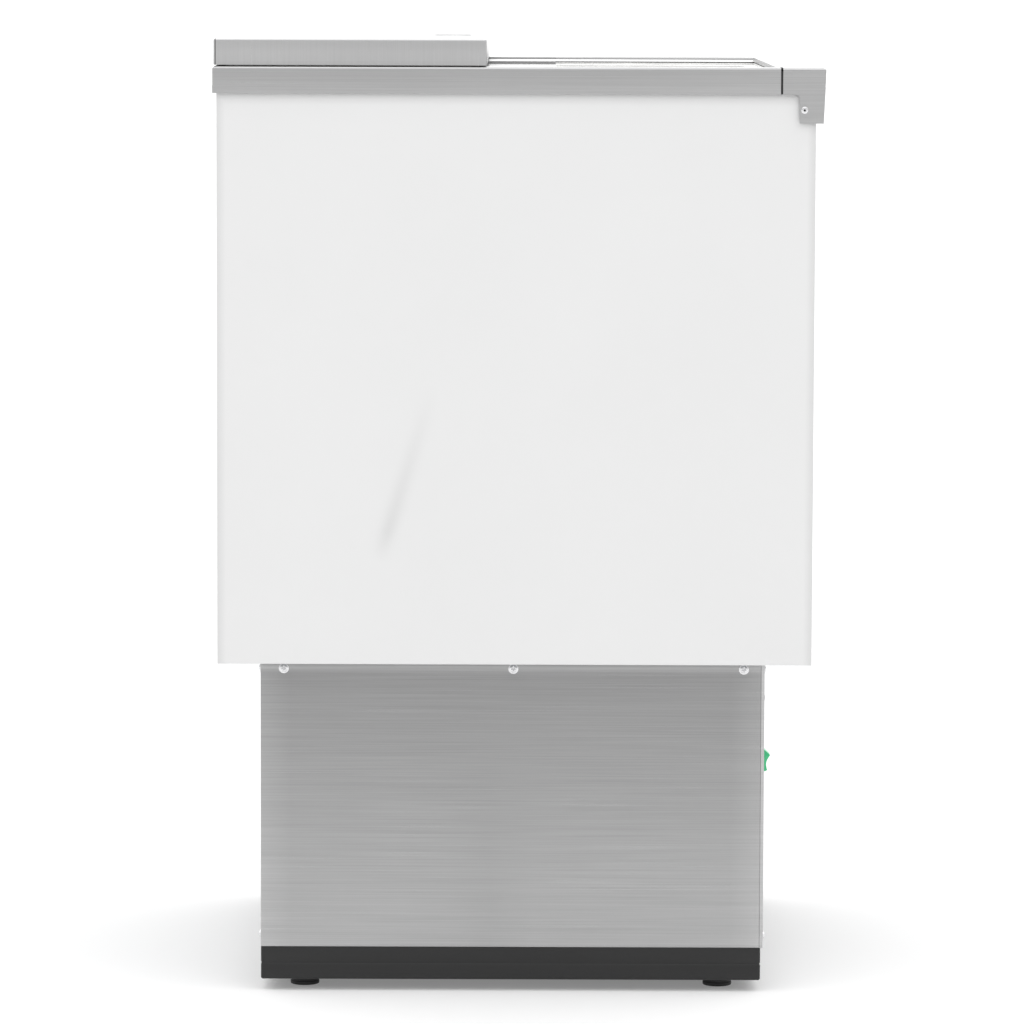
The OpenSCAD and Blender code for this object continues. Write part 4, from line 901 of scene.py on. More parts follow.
class FREEZER_OT_well(bpy.types.Operator):
    """Make the well's liner, the breaker frame around its mouth and the wire rack"""

    bl_idname = "freezer.well"
    bl_label = "Well"

    def execute(self, context):
        self.liner()
        self.breaker()
        self.rack()
        keep("drain_pipe", "drain_plastic")
        keep("evaporator_coil", "copper")
        return {"FINISHED"}

    def liner(self):
        """Vacuum-formed tub: flange, rounded rim, drafted walls, a filleted floor, and its outer side."""
        low, high = corners("well_liner")
        rack_low, rack_high = corners("wire_rack")
        sheet, fillet, corner = 1 * MM, 10 * MM, 14 * MM
        tub_low = np.array([rack_low[0] - 20 * MM, rack_low[1] - 14 * MM])
        tub_high = -tub_low[0], rack_high[1] + 14 * MM
        floor, top = low[2] + sheet, high[2]
        flange = min(high[0] - tub_high[0], 22 * MM)
        inner = [(flange, top), (2 * MM, top)] + bend(2 * MM, top - 2 * MM, 2 * MM, 90, 180, 4)
        inner += bend(-fillet, floor + fillet, fillet, 0, -90, 6)
        outer = bend(-fillet, floor + fillet, fillet + sheet, -90, 0, 6)
        outer += [(sheet, top - 3 * MM), (2 * MM, top - sheet), (flange, top - sheet)]
        inside = moulded(tub_low, tub_high, corner, inner, 8)
        outside = moulded(tub_low, tub_high, corner, outer, 8)
        for stack in (inside, outside):
            edge = stack[..., 2] > top - 1.5 * sheet
            wide = edge & (np.abs(stack[..., 0]) > tub_high[0] + 3 * MM)
            stack[..., 0] = np.where(wide, np.sign(stack[..., 0]) * high[0], stack[..., 0])
            deep = edge & (stack[..., 1] > tub_high[1] + 3 * MM)
            stack[..., 1] = np.where(deep, high[1], stack[..., 1])
            fore = edge & (stack[..., 1] < tub_low[1] - 3 * MM)
            stack[..., 1] = np.where(fore, low[1], stack[..., 1])
        piece = skin_mesh("well_tub", [shell_part(inside, outside)], 40)
        dress(piece, "liner_white", "cabinet", "liner_white", "well_liner")

    def breaker(self):
        """Moulded collar: throat and rounded ledge in one closed ring, and a lip on three sides."""
        low, high = corners("breaker_frame")
        throat = corners("deck_liner")[1][0] - 2 * MM
        ledge, foot, rear = high[2] - 1.4 * MM, low[2], high[1]
        front, lip_top = low[1], high[2] + 0.6 * MM
        inner_low, inner_high = np.array([-throat, front + 15 * MM]), np.array([throat, rear - 2 * MM])
        lip_low, lip_high = np.array([low[0], front]), np.array([high[0], rear - 1 * MM])
        rings = [
            (inner_low, inner_high, 10 * MM, foot),
            (inner_low, inner_high, 10 * MM, ledge - 3 * MM),
            (inner_low - 0.9 * MM, inner_high + 0.5 * MM, 10.9 * MM, ledge - 0.9 * MM),
            (inner_low - 3 * MM, inner_high + [3 * MM, 0.8 * MM], 12 * MM, ledge),
            (lip_low + 0.3 * MM, lip_high - 0.1 * MM, 3 * MM, ledge),
            (lip_low + 0.3 * MM, lip_high - 0.1 * MM, 3 * MM, ledge - 1.9 * MM),
            (inner_low - 2 * MM, inner_high + [2 * MM, 0.8 * MM], 12 * MM, ledge - 3.4 * MM),
            (inner_low - 2 * MM, inner_high + 2 * MM, 12 * MM, foot),
        ]
        stack = np.array([outline(a, b, r, z) for a, b, r, z in rings])
        parts = [ring_part(stack)]
        thick, base, end = 1.8 * MM, ledge - 1 * MM, high[1] - 3 * MM
        outer = high[0] - 0.1 * MM
        for x0, x1 in ((-outer, thick - outer), (outer - thick, outer)):
            parts.append(round_box_part((x0, front + 0.2 * MM, base), (x1, end, lip_top), 0.5 * MM, 3))
        front_bar = ((-outer, front + 0.1 * MM, base), (outer, front + 1.9 * MM, lip_top))
        parts.append(round_box_part(*front_bar, 0.5 * MM, 3))
        piece = skin_mesh("breaker_collar", parts, 40)
        dress(piece, "liner_white", "cabinet", "liner_white", "breaker_frame")

    def rack(self):
        """Welded rack: cross wires on runners inside a bent frame wire."""
        low, high = corners("wire_rack")
        wire = 2.5 * MM
        upper, lower = high[2] - wire, low[2] + wire
        rows = int((high[1] - low[1]) / (34 * MM))
        parts = []
        for y in np.linspace(low[1] + 12 * MM, high[1] - 12 * MM, rows + 1):
            ends = np.linspace(low[0] + wire, high[0] - wire, 5)
            path = np.stack([ends, np.full(5, y), np.full(5, upper)], -1)
            parts.append(wire_part(path, wire * 0.8))
        for x in (low[0] + 30 * MM, -60 * MM, 60 * MM, high[0] - 30 * MM):
            ends = np.linspace(low[1] + wire, high[1] - wire, 5)
            path = np.stack([np.full(5, x), ends, np.full(5, lower + 0.6 * MM)], -1)
            parts.append(wire_part(path, wire * 0.9))
        loop = outline(low + wire, high - wire, 14 * MM, upper)
        parts.append(wire_part(loop, wire, closed=True))
        piece = skin_mesh("bottom_rack", parts, 50)
        dress(piece, "rack_wire", "cabinet", "rack_wire", "wire_rack")


# ---- base ----


class FREEZER_OT_base(bpy.types.Operator):
    """Make the base's side panels, its pan and the washer-head screws"""

    bl_idname = "freezer.base"
    bl_label = "Base"

    def execute(self, context):
        for node in ("base_left_panel", "base_right_panel"):
            screws = screw_places(node)

            def pulled_in(a, b, *spans):
                out = crown(a, b, *spans, 0.25 * MM)
                for y, z in screws:
                    out = out - 0.35 * MM * np.exp(-((np.hypot(a - y, b - z) / (8 * MM)) ** 2))
                return out

            piece = panel_skin(node, 0, (110, 80), pulled_in, 1.0 * MM)
            dress(piece, "base_panel_steel", "cabinet", "brushed_stainless", node)
        self.pan()
        self.screws()
        keep("base_frame", "galvanised")
        return {"FINISHED"}

    def pan(self):
        """Pressed tray: a rolled foot, a shallow crease half way up, a rolled rim and its inside."""
        s = sizes()
        low, high = corners("base_pan")
        sheet, foot, top = 1.5 * MM, low[2], high[2]
        half = (foot + top) / 2
        roll = 2 * MM
        outer = bend(-roll, foot + roll, roll, -90, 0, 5)
        outer += [(0.0, half - s.pan_crease), (-0.45 * s.pan_crease, half), (0.0, half + s.pan_crease)]
        outer += bend(-0.7 * MM, top - 0.7 * MM, 0.7 * MM, 0, 180, 6)
        inner = [(-sheet, half)] + bend(-roll, foot + roll, roll - sheet, 0, -90, 4)
        stack = moulded(low, high, 2.5 * MM, outer + inner)
        piece = skin_mesh("base_tray", [tube_part(stack)], 35)
        dress(piece, "black_paint", "cabinet", "black_paint", "base_pan")

    def screws(self):
        """Washer-head screws: a broad flange, a low dome and a tapered cross recess.

        The head is a height over radius and angle, less the recess where |x| or |y| is small.
        """
        places = []
        for node, sign in (("base_left_panel", -1), ("base_right_panel", 1)):
            low, high = corners(node)
            face = low[0] if sign < 0 else high[0]
            places += [((face, y, z), (sign, 0, 0)) for y, z in screw_places(node)]
        front = corners("front_grille")
        rear = corners("rear_grille")
        x = front[1][0] - 9 * MM
        for z in (front[0][2] + 12 * MM, front[1][2] - 6 * MM):
            for side in (-1, 1):
                places.append(((side * x, front[0][1], z), (0, -1, 0)))
                places.append(((side * x, rear[1][1], z), (0, 1, 0)))
        radius = np.array([0.0, 0.35, 0.7, 1.05, 1.4, 1.75, 2.1, 2.5,
                           2.9, 3.3, 3.6, 3.9, 4.5, 5.0, 5.2]) * MM
        angle = np.linspace(0, TURN, 48, endpoint=False)
        grid_r, grid_a = np.meshgrid(radius[1:], angle, indexing="ij")
        head_r = 3.9 * MM
        dome = 2.2 * MM - 1.5 * MM * np.clip(grid_r / head_r, 0, 1) ** 2.4
        dome = np.where(grid_r > head_r, 0.7 * MM - 0.25 * (grid_r - head_r), dome)
        across = np.minimum(np.abs(grid_r * np.cos(grid_a)), np.abs(grid_r * np.sin(grid_a)))
        recess = np.clip(1 - across / (0.75 * MM), 0, 1) ** 0.5 * np.clip(1 - grid_r / (2.9 * MM), 0, 1)
        height = dome - 1.9 * MM * np.clip(recess, 0, 0.75)
        head = np.stack([grid_r * np.cos(grid_a), grid_r * np.sin(grid_a), height], -1)
        skirt = np.array([[5.2, 0.0], [2.0, 0.0], [2.0, -5.5], [1.2, -7.0]]) * MM
        below = np.stack([skirt[:, :1] * np.cos(angle), skirt[:, :1] * np.sin(angle),
                          np.broadcast_to(skirt[:, 1:], (4, 48))], -1)
        part = tube_part(np.concatenate([head, below]))
        parts = [turned(part, facing(direction, place)) for place, direction in places]
        piece = skin_mesh("washer_head_screws", parts, 30)
        dress(piece, "zinc", "cabinet", "zinc", "base_screws")


def screw_places(node):
    """Depth and height of the three screws along a base panel's upper edge."""
    low, high = corners(node)
    z = high[2] - 5.2 * MM
    return [(high[1] - 24 * MM, z), ((low[1] + high[1]) / 2 - 2.5 * MM, z), (low[1] + 18 * MM, z)]


# ---- grilles ----


def hood_part(width, height, rise, sheet):
    """Pressed louvre: a half-round hood over a slot, open below.

    Over u across and v down it stands out by rise times sqrt(1 - u^4) times sin(v * 90 deg).
    """
    u = np.linspace(-1, 1, 17)
    v = np.linspace(0, 1, 7)
    grid_u, grid_v = np.meshgrid(u, v)
    lift = rise * np.sqrt(np.clip(1 - grid_u**4, 0, 1)) * np.sin(grid_v * QUARTER)
    outer = np.stack([grid_u * width / 2, (0.5 - grid_v) * height, lift], -1)
    inner = outer - np.array([0, 0, sheet])
    rows, columns = grid_u.shape
    top = grid_faces(rows, columns, wrap_columns=False)
    under = grid_faces(rows, columns, wrap_columns=False, first=rows * columns)[:, ::-1]
    edge = np.concatenate([
        np.arange(columns),
        np.arange(2, rows + 1) * columns - 1,
        (rows - 1) * columns + np.arange(columns - 1)[::-1],
        np.arange(1, rows - 1)[::-1] * columns,
    ])
    following, below = np.roll(edge, -1), rows * columns
    wall = np.stack([edge, edge + below, following + below, following], -1)
    return np.concatenate([outer, inner]).reshape(-1, 3), np.concatenate([top, under, wall]), []


class FREEZER_OT_grilles(bpy.types.Operator):
    """Press louvre hoods over the slots of the front and rear grilles"""

    bl_idname = "freezer.grilles"
    bl_label = "Grilles"

    def execute(self, context):
        s = sizes()
        keep("front_grille", "grille_steel")
        keep("rear_grille", "galvanised")
        fins = corners("condenser_fins")
        low, high = corners("front_grille")
        end_turns, margin, drain_r = 10 * MM, 30 * MM, 9.2 * MM
        first = fins[0][0] - end_turns - margin
        bank = (high[0] - 18 * MM - first) / 2
        columns = [(first + i * bank, first + (i + 1) * bank - 14 * MM) for i in (0, 1)]
        rows = slot_rows(low[2] + 22 * MM, high[2] - 20 * MM, s.slot_pitch)
        parts = self.hoods(columns, rows, low[1], -1, s)
        piece = skin_mesh("front_louvres", parts, 60)
        dress(piece, "grille_steel", "cabinet", "brushed_stainless")
        low, high = corners("rear_grille")
        half = (high[0] + 1 * MM - 40 * MM) / 2
        out_z = corners("drain_pipe")[0][2] + drain_r
        columns = [(i * half + 8 * MM, (i + 1) * half - 8 * MM) for i in (-2, -1, 0, 1)]
        rows = slot_rows(out_z + margin, high[2] - 40 * MM, s.slot_pitch)
        parts = self.hoods(columns, rows, high[1], 1, s)
        piece = skin_mesh("rear_louvres", parts, 60)
        dress(piece, "galvanised", "cabinet", "galvanised")
        return {"FINISHED"}

    def hoods(self, columns, rows, y, sign, s):
        """Hoods over every slot of a plate whose outer face is at y and looks along sign."""
        turn = Matrix(((-sign, 0, 0, 0), (0, 0, sign, 0), (0, 1, 0, 0), (0, 0, 0, 1)))
        parts = []
        for x0, x1 in columns:
            hood = hood_part(x1 - x0 + 4 * MM, s.slot_height + 3 * MM, s.louvre_rise, 0.8 * MM)
            for z in rows:
                place = Matrix.Translation(Vector(((x0 + x1) / 2, y, z + 0.5 * MM)))
                parts.append(turned(hood, place @ turn))
        return parts


def slot_rows(low, high, pitch):
    """Centre heights of the air slots between two levels."""
    count = int(math.floor((high - low) / pitch))
    return [low + (i + 0.5) * (high - low) / count for i in range(count)]


# ---- feet ----


class FREEZER_OT_feet(bpy.types.Operator):
    """Make the four levelling feet with their grooved pads and threaded stems"""

    bl_idname = "freezer.feet"
    bl_label = "Levelling feet"

    def execute(self, context):
        bodies = {"foot_front_left": "foot_fl", "foot_front_right": "foot_fr",
                  "foot_rear_left": "foot_rl", "foot_rear_right": "foot_rr"}
        for node, body in bodies.items():
            low, high = corners(node)
            centre = ((low[0] + high[0]) / 2, (low[1] + high[1]) / 2, 0.0)
            r = (high[0] - low[0]) / 2
            neck = corners("base_pan")[0][2]
            rim = ((-1.2, 0.0), (-0.3, 0.4), (0.0, 1.4), (0.0, 3.4), (-0.7, 3.9), (-0.7, 4.6), (0.0, 5.1),
                   (0.0, 7.6), (-0.4, 8.5), (-1.4, 9.0), (-4.0, 9.2))
            pad = [(0.0, 0.0)] + [(r + a * MM, b * MM) for a, b in rim]
            pad += [(r - 4.2 * MM, neck - 0.3 * MM), (r - 4.5 * MM, neck), (5 * MM, neck)]
            turns = np.arange(neck + 0.5 * MM, high[2] - 1 * MM, 0.75 * MM)
            thread = [(4.98 * MM if i % 2 else 4.3 * MM, z) for i, z in enumerate(turns)]
            profile = pad + thread + [(3.6 * MM, high[2]), (0.0, high[2])]
            part = turned(lathe_part(profile, 48), Matrix.Translation(Vector(centre)))
            piece = skin_mesh(node.replace("foot", "leveller"), [part], 35)
            dress(piece, "black_plastic", body, "black_plastic", node)
        keep("foot_nuts", "zinc")
        return {"FINISHED"}


# ---- machine space ----


class FREEZER_OT_machine(bpy.types.Operator):
    """Make the compressor's shell and the fan, and finish the rest of the machine space"""

    bl_idname = "freezer.machine"
    bl_label = "Machine space"

    def execute(self, context):
        self.compressor()
        self.fan()
        plain = {
            "compressor_bracket": "dark_paint", "compressor_grommets": "black_rubber",
            "compressor_bolts": "zinc", "compressor_relay_cover": "black_plastic",
            "condenser_fins": "fin_aluminium", "condenser_coil": "copper", "fan_shroud": "galvanised",
            "fan_motor": "dark_paint", "fan_motor_bracket": "galvanised", "filter_drier": "copper",
            "suction_line": "black_rubber", "discharge_line": "copper", "liquid_line": "copper",
            "capillary_line": "copper", "electrical_box": "galvanised", "power_gland": "black_plastic",
        }
        for node, material in plain.items():
            keep(node, material)
        return {"FINISHED"}

    def compressor(self):
        """Two drawn steel cups with a welded flange between them, and two pipe stubs."""
        low, high = corners("compressor_shell")
        relay = middle("compressor_relay_cover")
        r = (high[1] - low[1]) / 2 - 3 * MM
        centre = Vector((relay[0], (low[1] + high[1]) / 2, low[2]))
        height = high[2] - low[2]
        weld = 0.55 * height
        profile = [(0.0, 0.0)] + [(r - 22 * MM + a, 22 * MM + b) for a, b in
                                  bend(0, 0, 22 * MM, -90, 0, 8)]
        profile += [(r, weld - 2 * MM), (r + 2.9 * MM, weld), (r + 3 * MM, weld + 2.6 * MM),
                    (r - 1 * MM, weld + 5 * MM)]
        shoulder = 34 * MM
        profile += [(r - 1 * MM - shoulder + a, height - shoulder + b)
                    for a, b in bend(0, 0, shoulder, 0, 78, 10)]
        profile += [(0.0, height)]
        parts = [turned(lathe_part(profile, 64), Matrix.Translation(centre))]
        z = 0.3 * height
        for y0, y1, bore in ((27 * MM, 36 * MM, 6 * MM), (-27 * MM, -36 * MM, 5 * MM)):
            start, stop = np.array([r - 14 * MM, y0, z]), np.array([r + 16 * MM, y1, z])
            path = np.array(centre) + np.linspace(start, stop, 4)
            parts.append(wire_part(path, bore, 20))
        piece = skin_mesh("compressor_can", parts, 40)
        dress(piece, "dark_paint", "cabinet", "dark_paint", "compressor_shell")

    def fan(self):
        """Five pressed blades on a cupped hub, on its shaft.

        A blade runs from the hub's radius to the tip; its pitch falls and its chord grows with
        the radius, and it is cambered by a parabola across its chord.
        """
        high = corners("fan_blade")[1]
        motor_low, motor_high = corners("fan_motor")
        centre = (motor_low + motor_high) / 2
        hub_y = motor_low[1] + 5 * MM - 26 * MM
        hub, tip, shaft = 24 * MM, 84 * MM, 4 * MM
        cup = [(0.0, 11.0), (20.0, 11.0), (23.0, 9.5), (24.0, 6.5), (24.0, -13.0), (22.6, -13.0),
               (22.4, 5.0), (20.5, 8.0), (0.0, 8.6)]
        turn = Matrix.Translation(Vector((centre[0], hub_y, centre[2]))) @ Matrix.Rotation(QUARTER, 4, "X")
        parts = [turned(lathe_part(np.array(cup) * MM, 48), turn)]
        rod = [(0.0, 8.0 * MM), (shaft, 8.0 * MM), (shaft, hub_y - high[1]), (0.0, hub_y - high[1])]
        parts.append(turned(lathe_part(rod, 24), turn))
        s, c = np.meshgrid(np.linspace(0, 1, 14), np.linspace(-0.5, 0.5, 11), indexing="ij")
        radius = hub - 1 * MM + s * (tip - hub)
        chord = (34 + 22 * s) * MM * np.sqrt(np.clip(1.0 - np.clip(s - 0.86, 0, 1) ** 2 * 22, 0.3, 1))
        pitch = np.radians(34 - 14 * s)
        camber = 3.2 * MM * (1 - 4 * c**2)
        along, rise = c * chord * np.cos(pitch), c * chord * np.sin(pitch) + camber - 1.5 * MM
        for k in range(5):
            angle = k * TURN / 5 + along / radius
            front, back = (
                np.stack([radius * np.cos(angle), radius * np.sin(angle), rise + side], -1)
                for side in (0.45 * MM, -0.45 * MM)
            )
            parts.append(turned(tube_part(np.concatenate([front, back[:, ::-1]], axis=1)), turn))
        piece = skin_mesh("axial_fan", parts, 40)
        dress(piece, "black_plastic", "fan", "black_plastic", "fan_blade")


# ---- switch and controller ----


class FREEZER_OT_controls(bpy.types.Operator):
    """Make the rocker switch, and the controller with its keys"""

    bl_idname = "freezer.controls"
    bl_label = "Switch and controller"

    def execute(self, context):
        self.switch()
        self.rocker()
        self.controller()
        return {"FINISHED"}

    def switch(self):
        """Snap-in housing behind a rounded bezel with a deep well."""
        low, high = corners("switch_body")
        plate = corners("front_grille")[0][1]
        centre_x, centre_z = (low[0] + high[0]) / 2, (low[2] + high[2]) / 2
        half = np.array([(high[0] - low[0]) / 2, (high[2] - low[2]) / 2])
        well = half - 3.0 * MM
        rise = plate - low[1]
        body = half - 1.8 * MM
        rings = [
            (well, 0.6 * MM, -20 * MM), (well, 0.6 * MM, rise - 0.5 * MM),
            (well + 0.4 * MM, 1.0 * MM, rise), (half - 0.8 * MM, 1.6 * MM, rise),
            (half - 0.2 * MM, 2.2 * MM, rise - 0.6 * MM), (half, 2.4 * MM, 0.05 * MM),
            (body, 0.8 * MM, 0.0), (body, 0.8 * MM, -24 * MM), (well, 0.6 * MM, -24 * MM),
        ]
        stack = np.array([outline(-size, size, r, z, 5) for size, r, z in rings])
        turn = facing((0, -1, 0), (centre_x, plate, centre_z))
        upright = turn @ Matrix.Rotation(upright_roll(turn), 4, "Z")
        points = stack.reshape(-1, 3)
        columns = stack.shape[1]
        cap = [np.arange(columns), np.arange(columns)[::-1] + (len(stack) - 1) * columns]
        parts = [turned((points, grid_faces(len(stack), columns), cap), upright)]
        for dz in (-8, 0, 8):
            z = centre_z + dz * MM
            parts.append(round_box_part((centre_x - 3 * MM, plate + 24 * MM, z - 0.4 * MM),
                                        (centre_x + 3 * MM, plate + 33 * MM, z + 0.4 * MM), 0.2 * MM, 2))
        piece = skin_mesh("switch_housing", parts, 35)
        dress(piece, "black_plastic", "cabinet", "black_plastic", "switch_body")

    def rocker(self):
        """Rocker: a hollowed face between two raised ends, with rounded edges, on its pins.

        The end view is a closed curve, and its sections shrink towards either side.
        """
        plate = corners("front_grille")[0][1]
        pivot_y = plate + 5.4 * MM
        body_low, body_high = corners("switch_body")
        centre_x, centre_z = (body_low[0] + body_high[0]) / 2, (body_low[2] + body_high[2]) / 2
        half, tip, reach, hollow = 9.4 * MM, 13.2 * MM, 12 * MM, 2.4 * MM
        z = np.linspace(-1, 1, 23)
        face = np.stack([tip - hollow * (1 - np.abs(z) ** 1.7), z * (reach - 4.2 * MM)], -1)
        cap_end = np.array([[tip - 0.5 * MM, reach - 3.4 * MM], [tip - 5.5 * MM, reach - 0.4 * MM],
                            [tip - 7 * MM, reach]])
        back = np.array([[-1.0 * MM, reach - 1.4 * MM], [-4.0 * MM, 0.0], [-1.0 * MM, -(reach - 1.4 * MM)]])
        profile = np.concatenate([face, cap_end, back, cap_end[::-1] * [1, -1]])
        heart = np.array([4 * MM, 0.0])
        rows = []
        for x, pull in ((-1, 0.55), (-0.985, 0.2), (-0.94, 0.0), (0.94, 0.0), (0.985, 0.2), (1, 0.55)):
            inward = profile - heart
            shrink = 1 - pull * 1.2 * MM / np.linalg.norm(inward, axis=1)[:, None]
            section = heart + inward * shrink
            rows.append(np.stack([np.full(len(section), x * half), -section[:, 0], section[:, 1]], -1))
        throw = math.radians(11)
        turn = Matrix.Translation(Vector((centre_x, pivot_y, centre_z))) @ Matrix.Rotation(throw, 4, "X")
        pin = np.linspace((-10.4 * MM, 0, 0), (10.4 * MM, 0, 0), 3)
        parts = [turned(tube_part(np.array(rows)), turn), turned(wire_part(pin, 1.5 * MM, 16), turn)]
        piece = skin_mesh("green_rocker", parts, 35)
        dress(piece, "rocker_green", "rocker", "rocker_green", "switch_rocker")

    def controller(self):
        """Finish the controller's case and window, and make its rounded key caps."""
        keep("controller_body", "black_plastic")
        keep("controller_window", "display_red")
        for key, body in (("set", "key_set"), ("up", "key_up"), ("down", "key_down")):
            node = "controller_key_" + key
            low, high = corners(node)
            part = round_box_part(low, high, 0.6 * MM, 3)
            piece = skin_mesh("key_cap_" + key, [part], 50)
            dress(piece, "key_grey", body, "key_grey", node)


def upright_roll(turn):
    """Roll about a facing matrix's own Z that brings its Y axis upright."""
    local_up = turn.to_3x3().inverted() @ Vector((0, 0, 1))
    return math.atan2(-local_up.x, local_up.y)


# ---- stage ----


class FREEZER_OT_stage(bpy.types.Operator):
    """Lay the pale floor, light it softly and place the camera"""

    bl_idname = "freezer.stage"
    bl_label = "Stage and camera"

    def execute(self, context):
        self.floor()
        self.lights()
        self.camera(context)
        context.scene.view_settings.view_transform = "Standard"
        return {"FINISHED"}

    def floor(self):
        """Wide pale plane, slightly lit by itself so that it meets the room without an edge."""
        side, shade, glow = 40.0, 0.72, 0.21
        points = np.array([(-side, -side, 0), (side, -side, 0), (side, side, 0), (-side, side, 0)], float)
        mesh = bpy.data.meshes.new("studio_floor")
        mesh.from_pydata(points.tolist(), [], [(0, 1, 2, 3)])
        floor = placed_in_scene("studio_floor", mesh)
        made, _, shader = blank("studio_white")
        shader.inputs["Base Color"].default_value = (shade, shade, shade, 1)
        shader.inputs["Roughness"].default_value = 0.9
        shader.inputs["Specular IOR Level"].default_value = 0.1
        shader.inputs["Emission Color"].default_value = (1, 1, 1, 1)
        shader.inputs["Emission Strength"].default_value = glow
        mesh.materials.append(made)

    def lights(self):
        """Room that brightens ahead, overhead and to both sides, and one soft lamp above.

        The brightness ahead counts less for diffuse light, so the far side isn't washed out.
        """
        s = sizes()
        world = bpy.data.worlds.new("soft_room")
        bpy.context.scene.world = world
        world.use_nodes = True
        tree = world.node_tree
        background = tree.nodes["Background"]
        background.inputs["Color"].default_value = (1, 1, 1, 1)
        way = put(tree, "TexCoord").outputs["Generated"]
        part = put(tree, "SeparateXYZ", {0: way})
        ahead = spread(tree, part.outputs[0], 0.1, 0.75, 0.0, s.backdrop)
        soft_ray = put(tree, "LightPath").outputs["Is Diffuse Ray"]
        ahead = times(tree, ahead, spread(tree, soft_ray, 0.0, 1.0, 1.0, 0.4))
        above = spread(tree, part.outputs[2], 0.3, 0.6, 0.0, s.ceiling)
        beside = size_of(tree, part.outputs[1])
        beside = spread(tree, beside, 0.6, 0.9, 0.0, s.wings)
        extra = calc(tree, "MAXIMUM", calc(tree, "MAXIMUM", ahead, above), beside)
        room = plus(tree, s.room, extra)
        tree.links.new(room, background.inputs["Strength"])
        softbox("top_softbox", (-0.5, 0.0, 3.2), (0.0, 0.0, 0.5), 2.4, s.top_power)

    def camera(self, context):
        """Long lens at the side of the freezer, a little above its top and tilted down."""
        s = sizes()
        data = bpy.data.cameras.new("side_camera")
        data.lens, data.sensor_width = s.lens, 36.0
        camera = placed_in_scene("side_camera", data)
        camera.location = s.camera_place
        ahead = Vector((math.cos(s.camera_pitch), 0.0, -math.sin(s.camera_pitch)))
        level = ahead.to_track_quat("-Z", "Y")
        camera.rotation_mode = "QUATERNION"
        camera.rotation_quaternion = level @ Quaternion((0, 0, 1), s.camera_roll)
        data.clip_start, data.clip_end = 0.1, 200.0
        context.scene.camera = camera


def softbox(name, place, target, size, power):
    """A square area lamp that faces a point."""
    data = bpy.data.lights.new(name, "AREA")
    data.shape, data.size, data.energy = "SQUARE", size, power
    lamp = placed_in_scene(name, data)
    lamp.location = place
    lamp.rotation_mode = "QUATERNION"
    lamp.rotation_quaternion = (Vector(target) - Vector(place)).to_track_quat("-Z", "Y")


# ---- properties and panel ----


def length(name, description, default):
    return FloatProperty(name=name, description=description, default=default, unit="LENGTH", precision=5)


def number(name, description, default, **settings):
    return FloatProperty(name=name, description=description, default=default, **settings)


def place_at(name, description, default, **settings):
    return FloatVectorProperty(name=name, description=description, default=default,
                               size=len(default), unit="LENGTH", **settings)


def colour(name, description, default):
    return FloatVectorProperty(name=name, description=description, default=default,
                               size=3, subtype="COLOR", min=0.0, max=1.0)


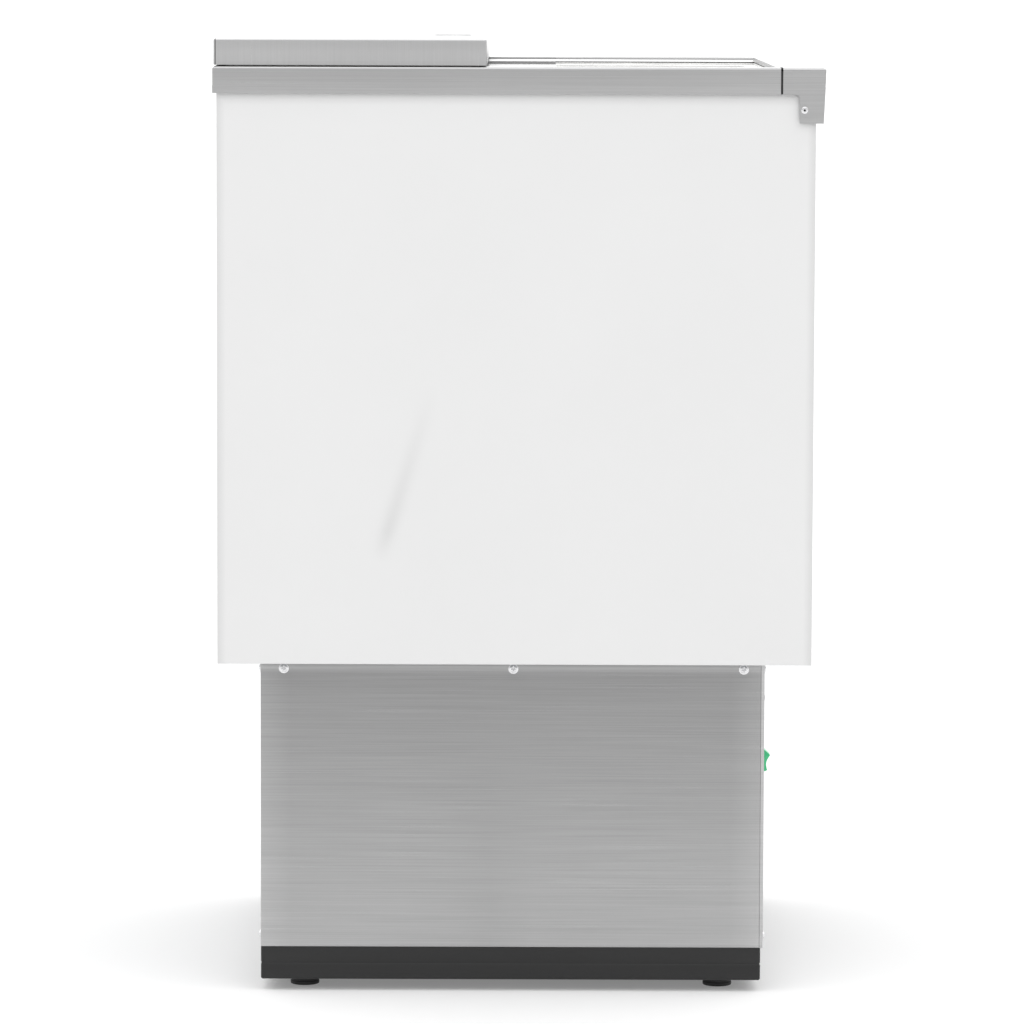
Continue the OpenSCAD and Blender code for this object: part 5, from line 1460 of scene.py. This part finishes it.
class FreezerSizes(bpy.types.PropertyGroup):
    """Sizes that the frame leaves to the looks"""

    sheet_edge: length("Sheet edge", "Radius of a panel's rolled edge", 0.8 * MM)
    crown: length("Crown", "How far a foam-backed panel bulges in its middle", 0.5 * MM)
    dent_depth: length("Dent depth", "Depth of the shallow crease in the left panel", 0.55 * MM)
    dent_width: length("Dent width", "Half width of that crease", 11.0 * MM)
    # Painted shade in the crease: how much darker its colour is made.
    dent_shade: number("Dent shade", "How much duller the paint is in the crease", 0.11)
    dent_start: place_at("Dent start", "Depth and height of the crease's upper end", (0.086, 0.630))
    dent_stop: place_at("Dent stop", "Depth and height of the crease's lower end", (0.142, 0.450))
    frame_bend: length("Frame bend", "Outer radius of the rails' upper bend", 3.0 * MM)
    mouth_fold: length("Mouth fold", "Depth of the fold around the mouth", 5.0 * MM)
    fold_lean: length("Fold lean", "How far the mouth's fold leans back at its top", 1.6 * MM)
    lid_bend: length("Lid bend", "Outer radius of the lid's upper bend", 2.0 * MM)
    lid_corner: length("Lid corner", "Radius of the lid's upright corners", 2.0 * MM)
    pan_crease: length("Pan crease", "Half height of the crease around the base pan", 1.6 * MM)
    slot_height: length("Slot height", "Height of an air slot", 6.0 * MM)
    slot_pitch: length("Slot pitch", "Distance between air slots", 15.0 * MM)
    louvre_rise: length("Louvre rise", "How far a louvre hood stands out", 3.0 * MM)
    backdrop: number("Backdrop", "Added brightness of the room ahead of the camera", 1.1)
    room: number("Room", "Brightness of the room all around", 0.66)
    ceiling: number("Ceiling", "Added brightness overhead", 0.84)
    wings: number("Wings", "Added brightness to the left and right", 0.3)
    top_power: number("Top light", "Power of the lamp above, in watts", 6.0)
    lens: number("Lens", "Focal length in millimetres", 197.4)
    camera_place: place_at("Camera", "Place of the camera", (-6.021, 0.006, 1.0657), subtype="XYZ")
    camera_pitch: number("Pitch", "Tilt of the camera below level", math.radians(5.662), unit="ROTATION")
    camera_roll: number("Roll", "Turn of the camera about its view", math.radians(0.19), unit="ROTATION")


class FreezerColours(bpy.types.PropertyGroup):
    """Colours of the main finishes"""

    enamel: colour("Enamel", "White cabinet paint", (0.737, 0.737, 0.737))
    steel: colour("Steel", "Brushed stainless", (0.51, 0.51, 0.5115))
    liner: colour("Liner", "White plastic of the well", (0.82, 0.82, 0.81))
    foam: colour("Foam", "Insulation", (0.78, 0.66, 0.36))
    zinc_sheet: colour("Zinc sheet", "Galvanised panels", (0.42, 0.43, 0.44))
    black: colour("Black paint", "Base pan", (0.0075, 0.0075, 0.0078))
    rocker: colour("Rocker", "Green of the lit rocker", (0.045, 0.44, 0.19))


STEPS = ("stage", "cabinet", "top_frame", "lid", "well", "base", "grilles", "feet", "machine", "controls")


class FREEZER_PT_panel(bpy.types.Panel):
    """Buttons that build the freezer piece by piece"""

    bl_idname = "FREEZER_PT_panel"
    bl_label = "Chest freezer"
    bl_space_type = "VIEW_3D"
    bl_region_type = "UI"
    bl_category = "Freezer"

    def draw(self, context):
        for step in STEPS:
            self.layout.operator("freezer." + step)
        for group in (context.scene.freezer_sizes, context.scene.freezer_colours):
            for name in group.__annotations__:
                self.layout.prop(group, name)


CLASSES = (
    FreezerSizes, FreezerColours, FREEZER_OT_stage, FREEZER_OT_cabinet, FREEZER_OT_top_frame,
    FREEZER_OT_lid, FREEZER_OT_well, FREEZER_OT_base, FREEZER_OT_grilles, FREEZER_OT_feet,
    FREEZER_OT_machine, FREEZER_OT_controls, FREEZER_PT_panel,
)


def register():
    for made in CLASSES:
        bpy.utils.register_class(made)
    bpy.types.Scene.freezer_sizes = PointerProperty(type=FreezerSizes)
    bpy.types.Scene.freezer_colours = PointerProperty(type=FreezerColours)


def unregister():
    del bpy.types.Scene.freezer_colours
    del bpy.types.Scene.freezer_sizes
    for made in reversed(CLASSES):
        bpy.utils.unregister_class(made)


def main():
    """Builds every piece in order."""
    register()
    for step in STEPS:
        getattr(bpy.ops.freezer, step)()


if __name__ == "__main__":
    main()
